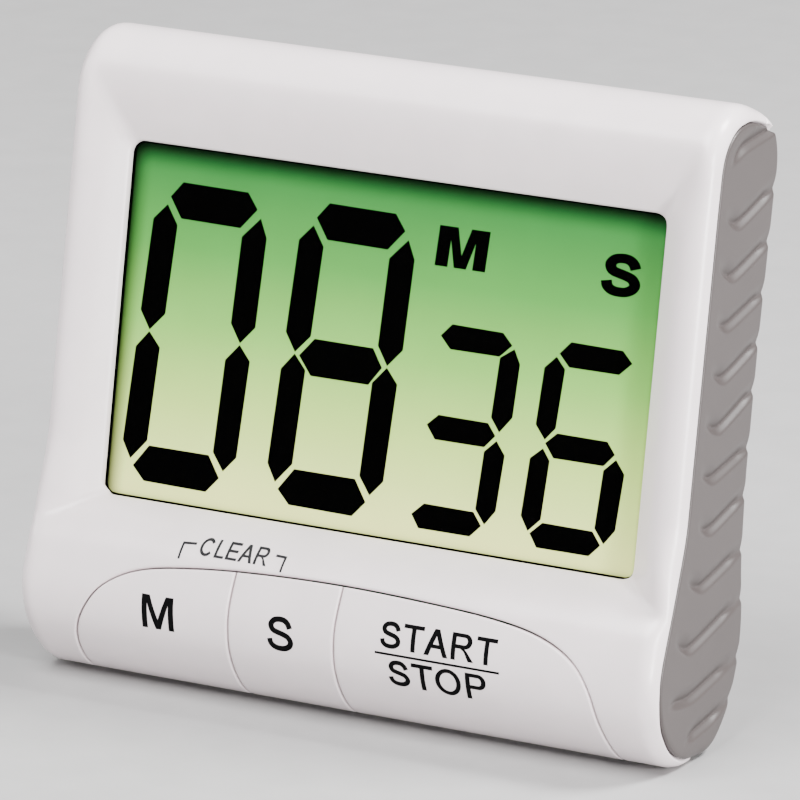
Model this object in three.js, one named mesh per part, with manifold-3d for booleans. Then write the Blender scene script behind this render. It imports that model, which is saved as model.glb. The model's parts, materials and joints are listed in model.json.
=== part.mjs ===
// Digital countdown timer: a leaning two-piece case with a large LCD, three keys and ribbed side grips,
// standing on its lower edge and a folding leg.
// Millimetres. The case is drawn upright in its own frame and then leaned back: x runs to the right,
// y from the display towards the back (0 at the edge of the display window), z up along the display.
import * as THREE from "three";
import { mergeVertices } from "three/addons/utils/BufferGeometryUtils.js";
import Module from "manifold-3d";

const wasm = await Module();
wasm.setup();

// ---- driving dimensions ----
const LEAN = THREE.MathUtils.degToRad(11);
const STAND_OPEN = THREE.MathUtils.degToRad(27);
const HALF_WIDTH = 38.5;
const EDGE_ROUND = 2;
const GAP = 0.3;
const PARTING_Y = 9;
const INNER_HALF_WIDTH = 34.6;
const ROOM_HALF_WIDTH = 33.6;

const WINDOW = { halfWidth: 32.1, halfHeight: 19.25, corner: 1.4, depth: 0.25 };
const BEZEL_FRONT = { halfWidth: 35.4, top: 23.4, bottom: -21.6, y: -3, corner: 3 };
const BEZEL_OUT = { halfWidth: 35.9, top: 24.2, bottom: -22.6, y: -8, corner: 3 };

const GRIP_THICKNESS = 1.6;
const GROOVE = { width: 0.55, depth: 0.6 };

const KEY_GAP = 0.3;
const KEY_BACK = -2;
const KEY_LIP_BACK = 2.9;
const KEY_TRAVEL = 0.6;
const KEY_WALL = 1.5;
const KEY_POST = { radius: 2, z: -30, front: -4.8, back: 0.5 };
const KEY_TAB = { halfWidth: 3, thickness: 0.9, bottom: -25.9, top: -23.1 };
const KEY_ZONE = { front: -10, back: 6, bottom: -44, top: -18, halfWidth: 50 };

const LENS = { halfWidth: 33.6, halfHeight: 21, front: 0.45, back: 0.85 };
const LCD = { halfWidth: 33.2, top: 21.4, bottom: -21.4, rearBottom: -19.7 };
const FRAME_WALL = 1.3;
const LCD_FRONT = [1.1, 1.6];
const LCD_REAR = [1.85, 2.35];
const REFLECTOR = [2.6, 2.8];
const BOARD = { halfWidth: 33.8, top: 26.4, bottom: -35.4, front: 3.9, back: 4.9 };
const MAT = { front: 3.0, back: 3.6, left: -31, right: 29.8, top: -26.6, bottom: -34.6 };
const DOME = { foot: 4.2, head: 3, top: 1.5, base: 3.2, wall: 0.6, roomBack: 4, z: -30.2 };

const CELL = { radius: 5.25, left: -21, shoulder: 22.7, right: 23.5, y: 11.75, z: 13 };
const POD = { halfWidth: 33, bottom: 4.2, top: 21.8, back: 18.9, corner: 4, round: 1.2 };
const BOX = { halfWidth: 25, wall: 1.6, bottom: 6.9, top: 19.1, floor: 6.2, floorWall: 0.8 };
const DOOR = { halfWidth: 24.2, front: 17.4, bottom: 6.2, top: 21.5, tongue: 1.1, tongueBack: 18 };
const THUMB_GROOVE = { count: 4, halfWidth: 5, depth: 0.5, first: 14.4, step: 1.5, width: 0.7 };
const MAGNET = { radius: 3.5, thickness: 2.2, x: 29.3 };
const HOLLOW = { x: 30, half: 1.6, back: 14.5, halfHeight: 6.6 };
const SOUND_HOLE = { radius: 0.8, front: 8, back: 12, ring: 3.6, around: 5 };
const TAB_SLOT = { x: 24.3, half: 0.7, front: 6.7, back: 9.5, bottom: 2 };
const LIP = { halfWidth: 34.3, bottom: -36.1, top: 28.9, wall: 1.1, reach: 1 };

const HINGE = { y: 10.9, z: -13, pin: 0.8, barrel: 1.6 };
const LEG = { halfWidth: 15, pinReach: 1.5, wellWall: 2.6, notchZ: -39.6, notchRadius: 4 };

const SHELL_SCREWS = [[-30.5, 25.4], [30.5, 25.4], [-30.6, -25], [30.6, -25]];
const BOARD_SCREWS = [[-18, 24.4], [18, 24.4], [-26.6, -24.6], [26.6, -24.6]];
const SHELL_SCREW = { head: 1.9, shank: 0.95, headHeight: 1.3, headBack: 12, length: 8 };
const BOARD_SCREW = { head: 1.3, shank: 0.6, headHeight: 0.8, headBack: 6, length: 3.4 };
const BOSS_RADIUS = 2.2;
const SLEEVE_TUBE = { radius: 3, back: 11 };
const HEAD_ROOM = { front: 10.4, gap: 0.4 };
const BOARD_POST_RADIUS = 1.5;
const PILOT = { shell: 1.25, shellFront: 2.2, board: 0.9, boardFront: 1.2 };
const FAR = 60;

// ---- materials ----
const plastic = (color, roughness = 0.45) => new THREE.MeshStandardMaterial({ color, roughness });
const metal = (color, roughness = 0.3) =>
  new THREE.MeshStandardMaterial({ color, roughness, metalness: 1 });
const WHITE = plastic(0xeae8ea);
const KEY_WHITE = plastic(0xeceaec);
const GREY_RUBBER = plastic(0x9a9290, 0.7);
const CLEAR = new THREE.MeshStandardMaterial({
  color: 0xf4faf4, roughness: 0.08, transparent: true, opacity: 0.25,
});
const GLASS = plastic(0xc9d6c4, 0.1);
const GREEN_FILM = plastic(0xa6cc88, 0.5);
const FRAME_GREY = plastic(0xb9b9b4);
const BOARD_GREEN = plastic(0x1f5a36, 0.5);
const EPOXY = plastic(0x141414, 0.35);
const SILICONE = plastic(0xb8bcc0, 0.8);
const CARBON = plastic(0x18181a, 0.9);
const CERAMIC = plastic(0xe9e4d6, 0.6);
const SLEEVE = plastic(0x23476b, 0.4);
const RED_WIRE = plastic(0xb3201c, 0.5);
const BLACK_WIRE = plastic(0x1a1a1a, 0.5);
const STEEL = metal(0xc4c6c8);
const NICKEL = metal(0xd8d6cf);
const BRASS = metal(0xc9a64a);
const ZINC = metal(0xbfc1c4, 0.35);

// ---- solids ----
function solid(geometry) {
  const bare = geometry.clone();
  for (const extra of ["normal", "uv"]) bare.deleteAttribute(extra);
  const merged = mergeVertices(bare, 1e-4);
  return new wasm.Manifold(
    new wasm.Mesh({
      numProp: 3,
      vertProperties: new Float32Array(merged.attributes.position.array),
      triVerts: new Uint32Array(merged.index.array),
    }),
  );
}

function geometryOf(body) {
  const { vertProperties, triVerts } = body.getMesh();
  const geometry = new THREE.BufferGeometry();
  geometry.setAttribute("position", new THREE.BufferAttribute(vertProperties, 3));
  geometry.setIndex(new THREE.BufferAttribute(triVerts, 1));
  geometry.computeVertexNormals();
  return geometry;
}

const joined = (...bodies) => bodies.reduce((all, body) => all.add(body));
const cut = (body, ...tools) => tools.reduce((rest, tool) => rest.subtract(tool), body);

const vectors = (points) => points.map(([a, b]) => new THREE.Vector2(a, b));
const shapeOf = (points) => (points instanceof THREE.Path ? points : new THREE.Shape(vectors(points)));

// Turned so that the outline's own axes become the two named ones and the extrusion the third.
const TURN_ALONG_X = new THREE.Matrix4().makeBasis(
  new THREE.Vector3(0, 1, 0), new THREE.Vector3(0, 0, 1), new THREE.Vector3(1, 0, 0),
);
const TURN_ALONG_Y = new THREE.Matrix4().makeBasis(
  new THREE.Vector3(1, 0, 0), new THREE.Vector3(0, 0, 1), new THREE.Vector3(0, -1, 0),
);

// An outline of (y, z) points, extruded from x0 to x1.
function alongX(outline, x0, x1, options = {}) {
  const made = new THREE.ExtrudeGeometry(shapeOf(outline), {
    depth: x1 - x0, bevelEnabled: false, curveSegments: 3, ...options,
  });
  return solid(made.applyMatrix4(TURN_ALONG_X).translate(x0, 0, 0));
}

// An outline of (x, z) points, extruded from y0 to y1.
function alongY(outline, y0, y1, options = {}) {
  const made = new THREE.ExtrudeGeometry(shapeOf(outline), {
    depth: y1 - y0, bevelEnabled: false, curveSegments: 3, ...options,
  });
  return solid(made.applyMatrix4(TURN_ALONG_Y).translate(0, y1, 0));
}

function block(x0, x1, y0, y1, z0, z1) {
  const made = new THREE.BoxGeometry(x1 - x0, y1 - y0, z1 - z0);
  return solid(made.translate((x0 + x1) / 2, (y0 + y1) / 2, (z0 + z1) / 2));
}

function discAlongY(x, z, radius, y0, y1, sides = 16) {
  const made = new THREE.CylinderGeometry(radius, radius, y1 - y0, sides);
  return solid(made.translate(x, (y0 + y1) / 2, z));
}

function rodAlongX(y, z, radius, x0, x1, sides = 16) {
  const made = new THREE.CylinderGeometry(radius, radius, x1 - x0, sides).rotateZ(-Math.PI / 2);
  return solid(made.translate((x0 + x1) / 2, y, z));
}

// A turned solid about the y axis through (x, z): points are (radius, y), from front to back.
function turnedAlongY(x, z, points, sides = 14) {
  const made = new THREE.LatheGeometry(vectors(points), sides);
  return solid(made.translate(x, 0, z));
}

function roundedRectangle(x0, x1, z0, z1, r) {
  const shape = new THREE.Shape();
  shape.absarc(x1 - r, z1 - r, r, 0, Math.PI / 2);
  shape.absarc(x0 + r, z1 - r, r, Math.PI / 2, Math.PI);
  shape.absarc(x0 + r, z0 + r, r, Math.PI, 1.5 * Math.PI);
  shape.absarc(x1 - r, z0 + r, r, 1.5 * Math.PI, 2 * Math.PI);
  return shape;
}

// Joins rings of equal point counts, each a convex (x, z) outline at its own y, from front to back.
function loft(rings) {
  const count = rings[0].outline.length;
  const positions = rings.flatMap(({ outline, y }) => outline.flatMap((p) => [p.x, y, p.y]));
  const faces = [];
  for (let ring = 0; ring < rings.length - 1; ring++)
    for (let i = 0; i < count; i++) {
      const a = ring * count + i;
      const b = ring * count + ((i + 1) % count);
      faces.push(a, b + count, b, a, a + count, b + count);
    }
  const last = (rings.length - 1) * count;
  for (let i = 1; i < count - 1; i++) faces.push(0, i, i + 1, last, last + i + 1, last + i);
  const made = new THREE.BufferGeometry();
  made.setAttribute("position", new THREE.Float32BufferAttribute(positions, 3));
  made.setIndex(faces);
  return solid(made);
}

// A closed outline moved outwards by a distance (inwards when negative). The points run anticlockwise.
function grown(points, distance) {
  return points.map((p, i) => {
    const before = points[(i + points.length - 1) % points.length];
    const after = points[(i + 1) % points.length];
    const along = after.clone().sub(before).normalize();
    return new THREE.Vector2(p.x + along.y * distance, p.y - along.x * distance);
  });
}

function tube(points, radius, steps, sides = 8) {
  const section = new THREE.Shape().absarc(0, 0, radius, 0, 2 * Math.PI);
  const path = new THREE.CatmullRomCurve3(points.map((p) => new THREE.Vector3(...p)));
  const made = new THREE.ExtrudeGeometry(section, {
    extrudePath: path, steps, curveSegments: sides / 2, bevelEnabled: false,
  });
  return solid(made);
}

const shortened = (shape, divisions) => {
  const points = shape.getPoints(divisions);
  return points[0].distanceTo(points.at(-1)) < 1e-6 ? points.slice(0, -1) : points;
};

// ---- the case's outer form: one side profile, rounded over at both ends ----
const FOOT_FRONT = new THREE.Vector2(4.2, -38.8);
const FOOT_BACK = new THREE.Vector2(7.2, FOOT_FRONT.y + 3 * Math.tan(LEAN));

function sideProfile() {
  const profile = new THREE.Shape();
  profile.moveTo(-3, -13);
  profile.splineThru(vectors([
    [-3.4, -15.6], [-4.3, -20], [-5.2, -24], [-5.85, -27], [-5.95, -29.4], [-5, -32.5],
    [-3.2, -35], [-0.8, -37.1], [1.6, -38.35],
  ]));
  profile.lineTo(FOOT_FRONT.x, FOOT_FRONT.y);
  profile.lineTo(FOOT_BACK.x, FOOT_BACK.y);
  profile.splineThru(vectors([
    [9.1, -37.6], [11.5, -35.6], [13.6, -32.3], [14.7, -27.5], [14.5, -22.8], [13.2, -17], [12.3, -8],
  ]));
  profile.lineTo(12.1, 6);
  profile.lineTo(12.4, 22.5);
  profile.bezierCurveTo(13.3, 28.2, 9.6, 31.1, 4.2, 31.3);
  profile.absellipse(4.2, 24.3, 7.2, 7, Math.PI / 2, Math.PI, false);
  return new THREE.Shape(shortened(profile, 2));
}

const envelope = alongX(sideProfile(), -HALF_WIDTH + EDGE_ROUND, HALF_WIDTH - EDGE_ROUND, {
  bevelEnabled: true,
  bevelThickness: EDGE_ROUND,
  bevelSize: EDGE_ROUND,
  bevelOffset: -EDGE_ROUND,
  bevelSegments: 3,
});

// ---- side grips ----
function gripOutline() {
  const outline = new THREE.Shape();
  outline.moveTo(-1.1, -13);
  outline.lineTo(-1.1, 24.4);
  outline.bezierCurveTo(-1.1, 27.5, 1.6, 29.5, 5.3, 29.5);
  outline.lineTo(9, 29);
  outline.lineTo(FAR, 29);
  outline.lineTo(FAR, -FAR);
  outline.lineTo(8, -FAR);
  outline.lineTo(8, -37.75);
  outline.lineTo(4.7, -37.75);
  outline.splineThru(vectors([
    [2.4, -37.2], [-0.1, -36.1], [-2, -34.5], [-3.4, -32.2], [-4, -29.3], [-3.8, -26.2], [-3, -22.5],
    [-1.8, -17], [-1.1, -13],
  ]));
  return shortened(outline, 1).reverse();
}

// Each groove starts near the front of the grip, dips, and rises to the back edge.
const GROOVE_DIPS = [19, 13.5, 8, 2.5, -3, -8.4, -14, -19.8, -26];
const GROOVE_RISE = 0.46;
const GROOVE_DIP_Y = 3.9;
const GROOVE_END_Y = 20;
const LOW_GRIP_Z = -15;

// The grip reaches further forward in its lower part, and so do the grooves.
function groovePath(dip) {
  const start = [dip < LOW_GRIP_Z ? -0.4 : 1.2, dip + 1];
  const end = [GROOVE_END_Y, dip + (GROOVE_END_Y - GROOVE_DIP_Y) * GROOVE_RISE];
  return [start, [GROOVE_DIP_Y, dip], end];
}

const TOP_GROOVE = [[1.6, 25.8], [4.1, 27.1], [14, 29.2]];
const LOW_GROOVES = [
  [[-0.8, -31.4], [3.6, -31.3], [16, -27.2]],
  [[3.6, -35.6], [9.6, -33.9], [18, -30]],
];

function band(path) {
  const half = GROOVE.width / 2;
  const upper = path.map(([y, z]) => [y, z + half]);
  const lower = path.map(([y, z]) => [y, z - half]).reverse();
  return [...lower, ...upper];
}

function gripBody() {
  const region = alongX(new THREE.Shape(gripOutline()), HALF_WIDTH - GRIP_THICKNESS, FAR);
  const skin = envelope.intersect(region);
  const paths = [TOP_GROOVE, ...GROOVE_DIPS.map(groovePath), ...LOW_GROOVES];
  const grooves = paths.map((path) => alongX(band(path), HALF_WIDTH - GROOVE.depth, FAR));
  return joined(cut(skin, ...grooves), ...gripPegs(PEG.radius));
}

const PEG = { radius: 1.2, length: 1.6, bite: 0.4, y: 5, heights: [20, -4, -29] };

function gripPegs(radius) {
  const end = HALF_WIDTH - GRIP_THICKNESS;
  return PEG.heights.map((z) => rodAlongX(PEG.y, z, radius, end - PEG.length, end + PEG.bite, 10));
}

function gripPocket() {
  const outline = new THREE.Shape(grown(gripOutline(), GAP));
  const region = alongX(outline, HALF_WIDTH - GRIP_THICKNESS - GAP, FAR);
  return joined(region, ...gripPegs(PEG.radius + GAP).map((peg) => peg.translate(-GAP, 0, 0)));
}

const mirroredX = (body) => body.mirror([1, 0, 0]);

// ---- keys ----
function keyAreaOutline() {
  const outline = new THREE.Shape();
  outline.moveTo(-32.3, -FAR);
  outline.lineTo(-32.2, -38.5);
  outline.splineThru(vectors([
    [-31.6, -34.5], [-30.2, -31.2], [-27.6, -28], [-23.3, -25.85], [-16.3, -24.75], [-8.3, -24.2],
    [0.6, -24], [9.6, -24.2], [18.5, -24.7], [24.5, -25.7], [28.7, -27.7], [30.9, -30.7], [31.8, -35],
    [32.1, -38.5],
  ]));
  outline.lineTo(32.2, -FAR);
  return shortened(outline, 1).reverse();
}

// The lines between the keys lean a little, as x at a height z.
const DIVIDER_LEAN = 0.055;
const DIVIDERS = [-11.9, 0.97];
const dividerAt = (x, z) => x + (z + 24) * DIVIDER_LEAN;
const KEYS = [
  { name: "key_minutes", left: -KEY_ZONE.halfWidth, right: DIVIDERS[0], post: -21.5 },
  { name: "key_seconds", left: DIVIDERS[0], right: DIVIDERS[1], post: -6.4 },
  { name: "key_start_stop", left: DIVIDERS[1], right: KEY_ZONE.halfWidth, post: 12.5 },
];

const throughKeys = (outline) => alongY(outline, KEY_ZONE.front, KEY_ZONE.back);

function keySlice({ left, right }, inset) {
  const { top, bottom } = KEY_ZONE;
  return throughKeys([
    [dividerAt(left + inset, bottom), bottom], [dividerAt(right - inset, bottom), bottom],
    [dividerAt(right - inset, top), top], [dividerAt(left + inset, top), top],
  ]);
}

function keyBody(key) {
  const outline = keyAreaOutline();
  const outer = throughKeys(new THREE.Shape(grown(outline, -KEY_GAP / 2)));
  const depth = alongX([
    [-9, -20], [-9, -44], [KEY_LIP_BACK, -44], [KEY_LIP_BACK, -37.2], [0.2, -36], [KEY_BACK, -34.8],
    [KEY_BACK, -20],
  ], -FAR, FAR);
  const pocketSide = alongX([
    [KEY_BACK + 1, -20], [-3.7, -20], [-4.2, -25], [-4.5, -29], [-3.6, -32], [KEY_BACK, -34.1],
    [KEY_BACK + 1, -34.4],
  ], -FAR, FAR);
  const pocketFront = throughKeys(new THREE.Shape(grown(outline, -KEY_WALL)));
  const pocket = pocketSide.intersect(pocketFront).intersect(keySlice(key, KEY_WALL));
  const cap = envelope.intersect(outer).intersect(depth).intersect(keySlice(key, KEY_GAP / 2));
  const post = discAlongY(
    key.post, KEY_POST.z, KEY_POST.radius, KEY_POST.front, KEY_POST.back, 12,
  );
  const tab = block(
    key.post - KEY_TAB.halfWidth, key.post + KEY_TAB.halfWidth,
    KEY_BACK - KEY_TAB.thickness, KEY_BACK, KEY_TAB.bottom, KEY_TAB.top,
  );
  return joined(cut(cap, pocket), post, tab);
}

// ---- front shell ----
function bezelCut() {
  const ring = ({ halfWidth, top, bottom, corner }, y) => ({
    y,
    outline: shortened(roundedRectangle(-halfWidth, halfWidth, bottom, top, corner), 2),
  });
  const opening = { ...WINDOW, top: WINDOW.halfHeight, bottom: -WINDOW.halfHeight };
  return loft([
    ring(BEZEL_OUT, BEZEL_OUT.y), ring(BEZEL_FRONT, BEZEL_FRONT.y), ring(opening, 0), ring(opening, 2),
  ]);
}

// The front wall lies further forward in the bulge, so a post there starts further forward too.
const postFoot = (z) => (z > 0 ? -1.5 : -4.5);
const screwBoss = ([x, z]) => discAlongY(x, z, BOSS_RADIUS, postFoot(z), PARTING_Y - GAP, 14);
const boardPost = ([x, z]) =>
  discAlongY(x, z, BOARD_POST_RADIUS, postFoot(z), BOARD.front - GAP, 10);

const bossRooms = () =>
  SHELL_SCREWS.map(([x, z]) => discAlongY(x, z, BOSS_RADIUS + GAP, 0, FAR, 14));

function frontShell() {
  const half = envelope.intersect(block(-FAR, FAR, -FAR, PARTING_Y, -FAR, FAR));
  const cavity = alongX([
    [WINDOW.depth, -36.5], [FAR, -36.5], [FAR, 29.3], [2.6, 29.3], [WINDOW.depth, 26.8],
  ], -INNER_HALF_WIDTH, INNER_HALF_WIDTH);
  const keyRoom = alongX([
    [1, -21.3], [-2.4, -21.3], [-3.4, -24.5], [-4, -28.5], [-3.2, -31.8], [-1.4, -34.6], [1, -36],
  ], -ROOM_HALF_WIDTH, ROOM_HALF_WIDTH);
  const keyRoomBack = KEY_LIP_BACK + KEY_TRAVEL + KEY_GAP;
  const topRoom = block(-ROOM_HALF_WIDTH, ROOM_HALF_WIDTH, -1, 1, 24.8, 26.6);
  const opening = new THREE.Shape(grown(keyAreaOutline(), KEY_GAP / 2));
  const keyOpening = alongY(opening, KEY_ZONE.front, keyRoomBack);
  const hollow = cut(half, cavity, keyRoom, topRoom);
  const posts = BOARD_SCREWS.map(boardPost);
  const bosses = SHELL_SCREWS.map(screwBoss);
  const pilots = SHELL_SCREWS.map(([x, z]) =>
    discAlongY(x, z, PILOT.shell, PILOT.shellFront, FAR, 10));
  const boardPilots = BOARD_SCREWS.map(([x, z]) =>
    discAlongY(x, z, PILOT.board, PILOT.boardFront, FAR, 8));
  const pocket = gripPocket();
  return cut(
    joined(hollow, ...bosses, ...posts),
    keyOpening, bezelCut(), pocket, mirroredX(pocket), ...pilots, ...boardPilots,
  );
}

// ---- rear shell ----
function legProfile() {
  const profile = new THREE.Shape();
  profile.moveTo(9.7, -13);
  profile.lineTo(10.6, -17.6);
  profile.splineThru(vectors([[11.5, -22], [11.7, -28], [11.1, -33.5], [10.7, -37.2]]));
  profile.lineTo(11.2, -38.1);
  profile.lineTo(12.2, -37.9);
  profile.splineThru(vectors([[13.7, -33], [14.4, -28], [14.3, -22], [13.3, -16.8]]));
  profile.lineTo(12.5, -13);
  return profile;
}

function rearHollow() {
  return alongX([
    [7, -35.4], [9.6, -34.7], [11.7, -31.6], [12.8, -27], [12.6, -22.8], [11.4, -17], [10.6, -8],
    [10.4, 6], [10.6, 23], [9.8, 27], [7, 28.4],
  ], -INNER_HALF_WIDTH, INNER_HALF_WIDTH);
}

function rearShell() {
  const plate = envelope.intersect(block(-FAR, FAR, PARTING_Y + GAP, FAR, -FAR, FAR));
  const { halfWidth: lip, bottom, top, wall, reach } = LIP;
  const ring = cut(
    block(-lip, lip, PARTING_Y - reach, PARTING_Y + reach, bottom, top),
    block(-lip + wall, lip - wall, 0, FAR, bottom + wall, top - wall),
  );
  const pod = alongY(
    roundedRectangle(-POD.halfWidth, POD.halfWidth, POD.bottom, POD.top, POD.corner),
    PARTING_Y + GAP + POD.round, POD.back - POD.round,
    {
      bevelEnabled: true, bevelThickness: POD.round, bevelSize: POD.round,
      bevelOffset: -POD.round, bevelSegments: 2,
    },
  );
  const outside = BOX.halfWidth + BOX.wall;
  const box = block(
    -outside, outside, BOX.floor - BOX.floorWall, PARTING_Y + 2,
    BOX.bottom - BOX.wall, BOX.top + BOX.wall,
  );
  const well = envelope.intersect(alongX([
    [7.4, -9.3], [7.4, -15.6], [8.7, -17.9], [9.5, -22], [9.6, -28], [9, -32], [8.9, -36],
    [FAR, -36], [FAR, -9.3],
  ], -LEG.halfWidth - LEG.wellWall, LEG.halfWidth + LEG.wellWall));
  const screwSleeves = SHELL_SCREWS.map(([x, z]) =>
    discAlongY(x, z, SLEEVE_TUBE.radius, PARTING_Y + GAP, SLEEVE_TUBE.back, 14));
  const solidParts = joined(cut(joined(plate, pod), rearHollow()), ring, box, well, ...screwSleeves);

  const compartment = block(
    -BOX.halfWidth, BOX.halfWidth, BOX.floor, FAR, BOX.bottom, BOX.top,
  );
  const doorway = block(
    -DOOR.halfWidth - GAP, DOOR.halfWidth + GAP, DOOR.front - GAP, FAR, DOOR.bottom - GAP, FAR,
  );
  const rails = block(
    -DOOR.halfWidth - DOOR.tongue - GAP, DOOR.halfWidth + DOOR.tongue + GAP,
    DOOR.front - GAP, DOOR.tongueBack + GAP, DOOR.bottom - GAP, FAR,
  );
  const recess = alongX([
    [8.9, -10.9], [8.9, -15.4], [10.2, -17.8], [11, -22], [11.2, -28], [10.6, -33.5], [10.2, -FAR],
    [FAR, -FAR], [FAR, -10.9],
  ], -LEG.halfWidth - GAP, LEG.halfWidth + GAP);
  const pinReach = LEG.halfWidth + LEG.pinReach + GAP;
  const pinHole = rodAlongX(HINGE.y, HINGE.z, HINGE.pin + GAP, -pinReach, pinReach, 12);
  const screwHoles = SHELL_SCREWS.flatMap(([x, z]) => [
    discAlongY(x, z, SHELL_SCREW.shank + GAP, 0, FAR, 12),
    discAlongY(x, z, SHELL_SCREW.head + HEAD_ROOM.gap, HEAD_ROOM.front, FAR, 14),
  ]);
  const magnetPockets = [-1, 1].flatMap((side) => [
    discAlongY(side * MAGNET.x, CELL.z, MAGNET.radius + GAP, magnetFront() - GAP, FAR, 20),
    block(
      side * HOLLOW.x - HOLLOW.half, side * HOLLOW.x + HOLLOW.half, 0, HOLLOW.back,
      CELL.z - HOLLOW.halfHeight, CELL.z + HOLLOW.halfHeight,
    ),
  ]);
  const soundHoles = soundHolePlaces().map(([x, z]) =>
    discAlongY(x, z, SOUND_HOLE.radius, SOUND_HOLE.front, SOUND_HOLE.back, 8));
  const tabSlots = [-1, 1].map((side) => block(
    side * TAB_SLOT.x - TAB_SLOT.half, side * TAB_SLOT.x + TAB_SLOT.half,
    TAB_SLOT.front, TAB_SLOT.back, TAB_SLOT.bottom, BOX.bottom + 1,
  ));
  const pocket = gripPocket();
  return cut(
    solidParts, compartment, doorway, rails, recess, pinHole, ...screwHoles, ...magnetPockets,
    ...soundHoles, ...tabSlots, pocket, mirroredX(pocket),
  );
}

const magnetFront = () => POD.back - MAGNET.thickness;

const SOUNDER = { x: 0, z: -26, plate: 7.4, plateY: [8.3, 8.5], ceramic: 5.4, ceramicY: [7.75, 8] };
function soundHolePlaces() {
  const ring = Array.from({ length: SOUND_HOLE.around }, (_, i) => {
    const angle = (i * 2 * Math.PI) / SOUND_HOLE.around;
    return [SOUND_HOLE.ring * Math.sin(angle), SOUND_HOLE.ring * Math.cos(angle)];
  });
  return [[0, 0], ...ring].map(([x, z]) => [SOUNDER.x + x, SOUNDER.z + z]);
}

function batteryDoor() {
  const { halfWidth, front, bottom, top, tongue, tongueBack } = DOOR;
  const plate = block(-halfWidth, halfWidth, front, POD.back, bottom, top);
  const tongues = block(-halfWidth - tongue, halfWidth + tongue, front, tongueBack, bottom, top);
  const { count, halfWidth: half, depth, first, step, width } = THUMB_GROOVE;
  const ridges = Array.from({ length: count }, (_, i) => first + i * step).map((z) =>
    block(-half, half, POD.back - depth, FAR, z, z + width));
  return cut(joined(plate, tongues), ...ridges);
}

function standLeg() {
  const plate = alongX(legProfile(), -LEG.halfWidth, LEG.halfWidth);
  const barrel = rodAlongX(HINGE.y, HINGE.z, HINGE.barrel, -LEG.halfWidth, LEG.halfWidth, 14);
  const reach = LEG.halfWidth + LEG.pinReach;
  const pins = rodAlongX(HINGE.y, HINGE.z, HINGE.pin, -reach, reach, 10);
  const fingerNotch = discAlongY(0, LEG.notchZ, LEG.notchRadius, 0, FAR, 20);
  return cut(joined(plate, barrel, pins), fingerNotch);
}

// ---- display ----
const lcdPane = (bottom, [front, back]) =>
  block(-LCD.halfWidth, LCD.halfWidth, front, back, bottom, LCD.top);

const ZEBRA = { halfWidth: 30, bottom: -21.2, top: -20.1 };
const zebraStrip = () =>
  block(
    -ZEBRA.halfWidth, ZEBRA.halfWidth, LCD_FRONT[1] + GAP, BOARD.front - GAP,
    ZEBRA.bottom, ZEBRA.top,
  );

function displayFrame() {
  const outer = block(
    -LIP.halfWidth, LIP.halfWidth, LCD_FRONT[0], BOARD.front - GAP,
    LCD.bottom - FRAME_WALL, LCD.top + FRAME_WALL,
  );
  const inner = block(
    -LCD.halfWidth - GAP, LCD.halfWidth + GAP, 0, FAR, LCD.bottom - GAP, LCD.top + GAP,
  );
  const postRooms = BOARD_SCREWS.map(([x, z]) =>
    discAlongY(x, z, BOARD_POST_RADIUS + HEAD_ROOM.gap, 0, FAR, 12));
  return cut(outer, inner, ...postRooms, ...bossRooms());
}

// ---- circuit board and what it carries ----
function circuitBoard() {
  const plate = block(
    -BOARD.halfWidth, BOARD.halfWidth, BOARD.front, BOARD.back, BOARD.bottom, BOARD.top,
  );
  const corners = SHELL_SCREWS.filter(([, z]) => z > 0).map(([x, z]) =>
    block(Math.min(x, x * 1.3), Math.max(x, x * 1.3), 0, FAR, z - BOSS_RADIUS - GAP, FAR));
  const holes = BOARD_SCREWS.map(([x, z]) => discAlongY(x, z, BOARD_SCREW.shank + GAP, 0, FAR, 8));
  return cut(plate, ...bossRooms(), ...corners, ...holes);
}

function keypadMat() {
  const { foot, head, top, wall, base, roomBack } = DOME;
  const plate = block(MAT.left, MAT.right, MAT.front, MAT.back, MAT.bottom, MAT.top);
  const domeOutline = [[0, top], [head, top], [foot, base], [0, base]];
  const roomOutline = [[0, top + wall], [head - wall, top + wall], [foot - wall, roomBack], [0, roomBack]];
  const domes = KEYS.map(({ post }) => turnedAlongY(post, DOME.z, domeOutline));
  const rooms = KEYS.map(({ post }) => turnedAlongY(post, DOME.z, roomOutline));
  return cut(joined(plate, ...domes), ...bossRooms(), ...rooms);
}

// A pill's radius, front and back.
const PILL = [1.5, 2.5, 2.9];

const chipBlob = () =>
  turnedAlongY(-9, -2, [[0, 5.2], [5, 5.2], [4.6, 6], [3.4, 6.6], [1.8, 6.9], [0, 7]], 18);

const CAPACITOR = [[0, 5.2], [2.5, 5.2], [2.5, 5.8], [2.3, 6.1], [2.5, 6.4], [2.5, 9], [0, 9]];
const capacitor = () => turnedAlongY(12, -2, CAPACITOR, 16);

// ---- battery ----
function battery() {
  const { radius, left, shoulder, right, y, z } = CELL;
  const profile = [
    [0, left], [radius - 0.6, left], [radius, left + 0.6], [radius, shoulder - 0.6],
    [radius - 0.6, shoulder], [1.9, shoulder], [1.9, right], [0, right],
  ];
  const made = new THREE.LatheGeometry(vectors(profile), 24).rotateZ(-Math.PI / 2);
  return solid(made.translate(0, y, z));
}

const CONTACT = { thickness: 0.4, half: 4.6, x: 24.1, tabFront: 7.2, tabBack: 9, tabBottom: 3.6 };
const SPRING = { turns: 3.5, points: 34, widest: 3.6, narrowest: 1.8, wire: 0.35 };

function contactPlate(side) {
  const x = side * CONTACT.x;
  const half = CONTACT.thickness / 2;
  const plate = block(
    x - half, x + half, CELL.y - CONTACT.half, CELL.y + CONTACT.half,
    CELL.z - CONTACT.half, CELL.z + CONTACT.half,
  );
  const tab = block(
    x - half, x + half, CONTACT.tabFront, CONTACT.tabBack, CONTACT.tabBottom, CELL.z,
  );
  return plate.add(tab);
}

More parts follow.
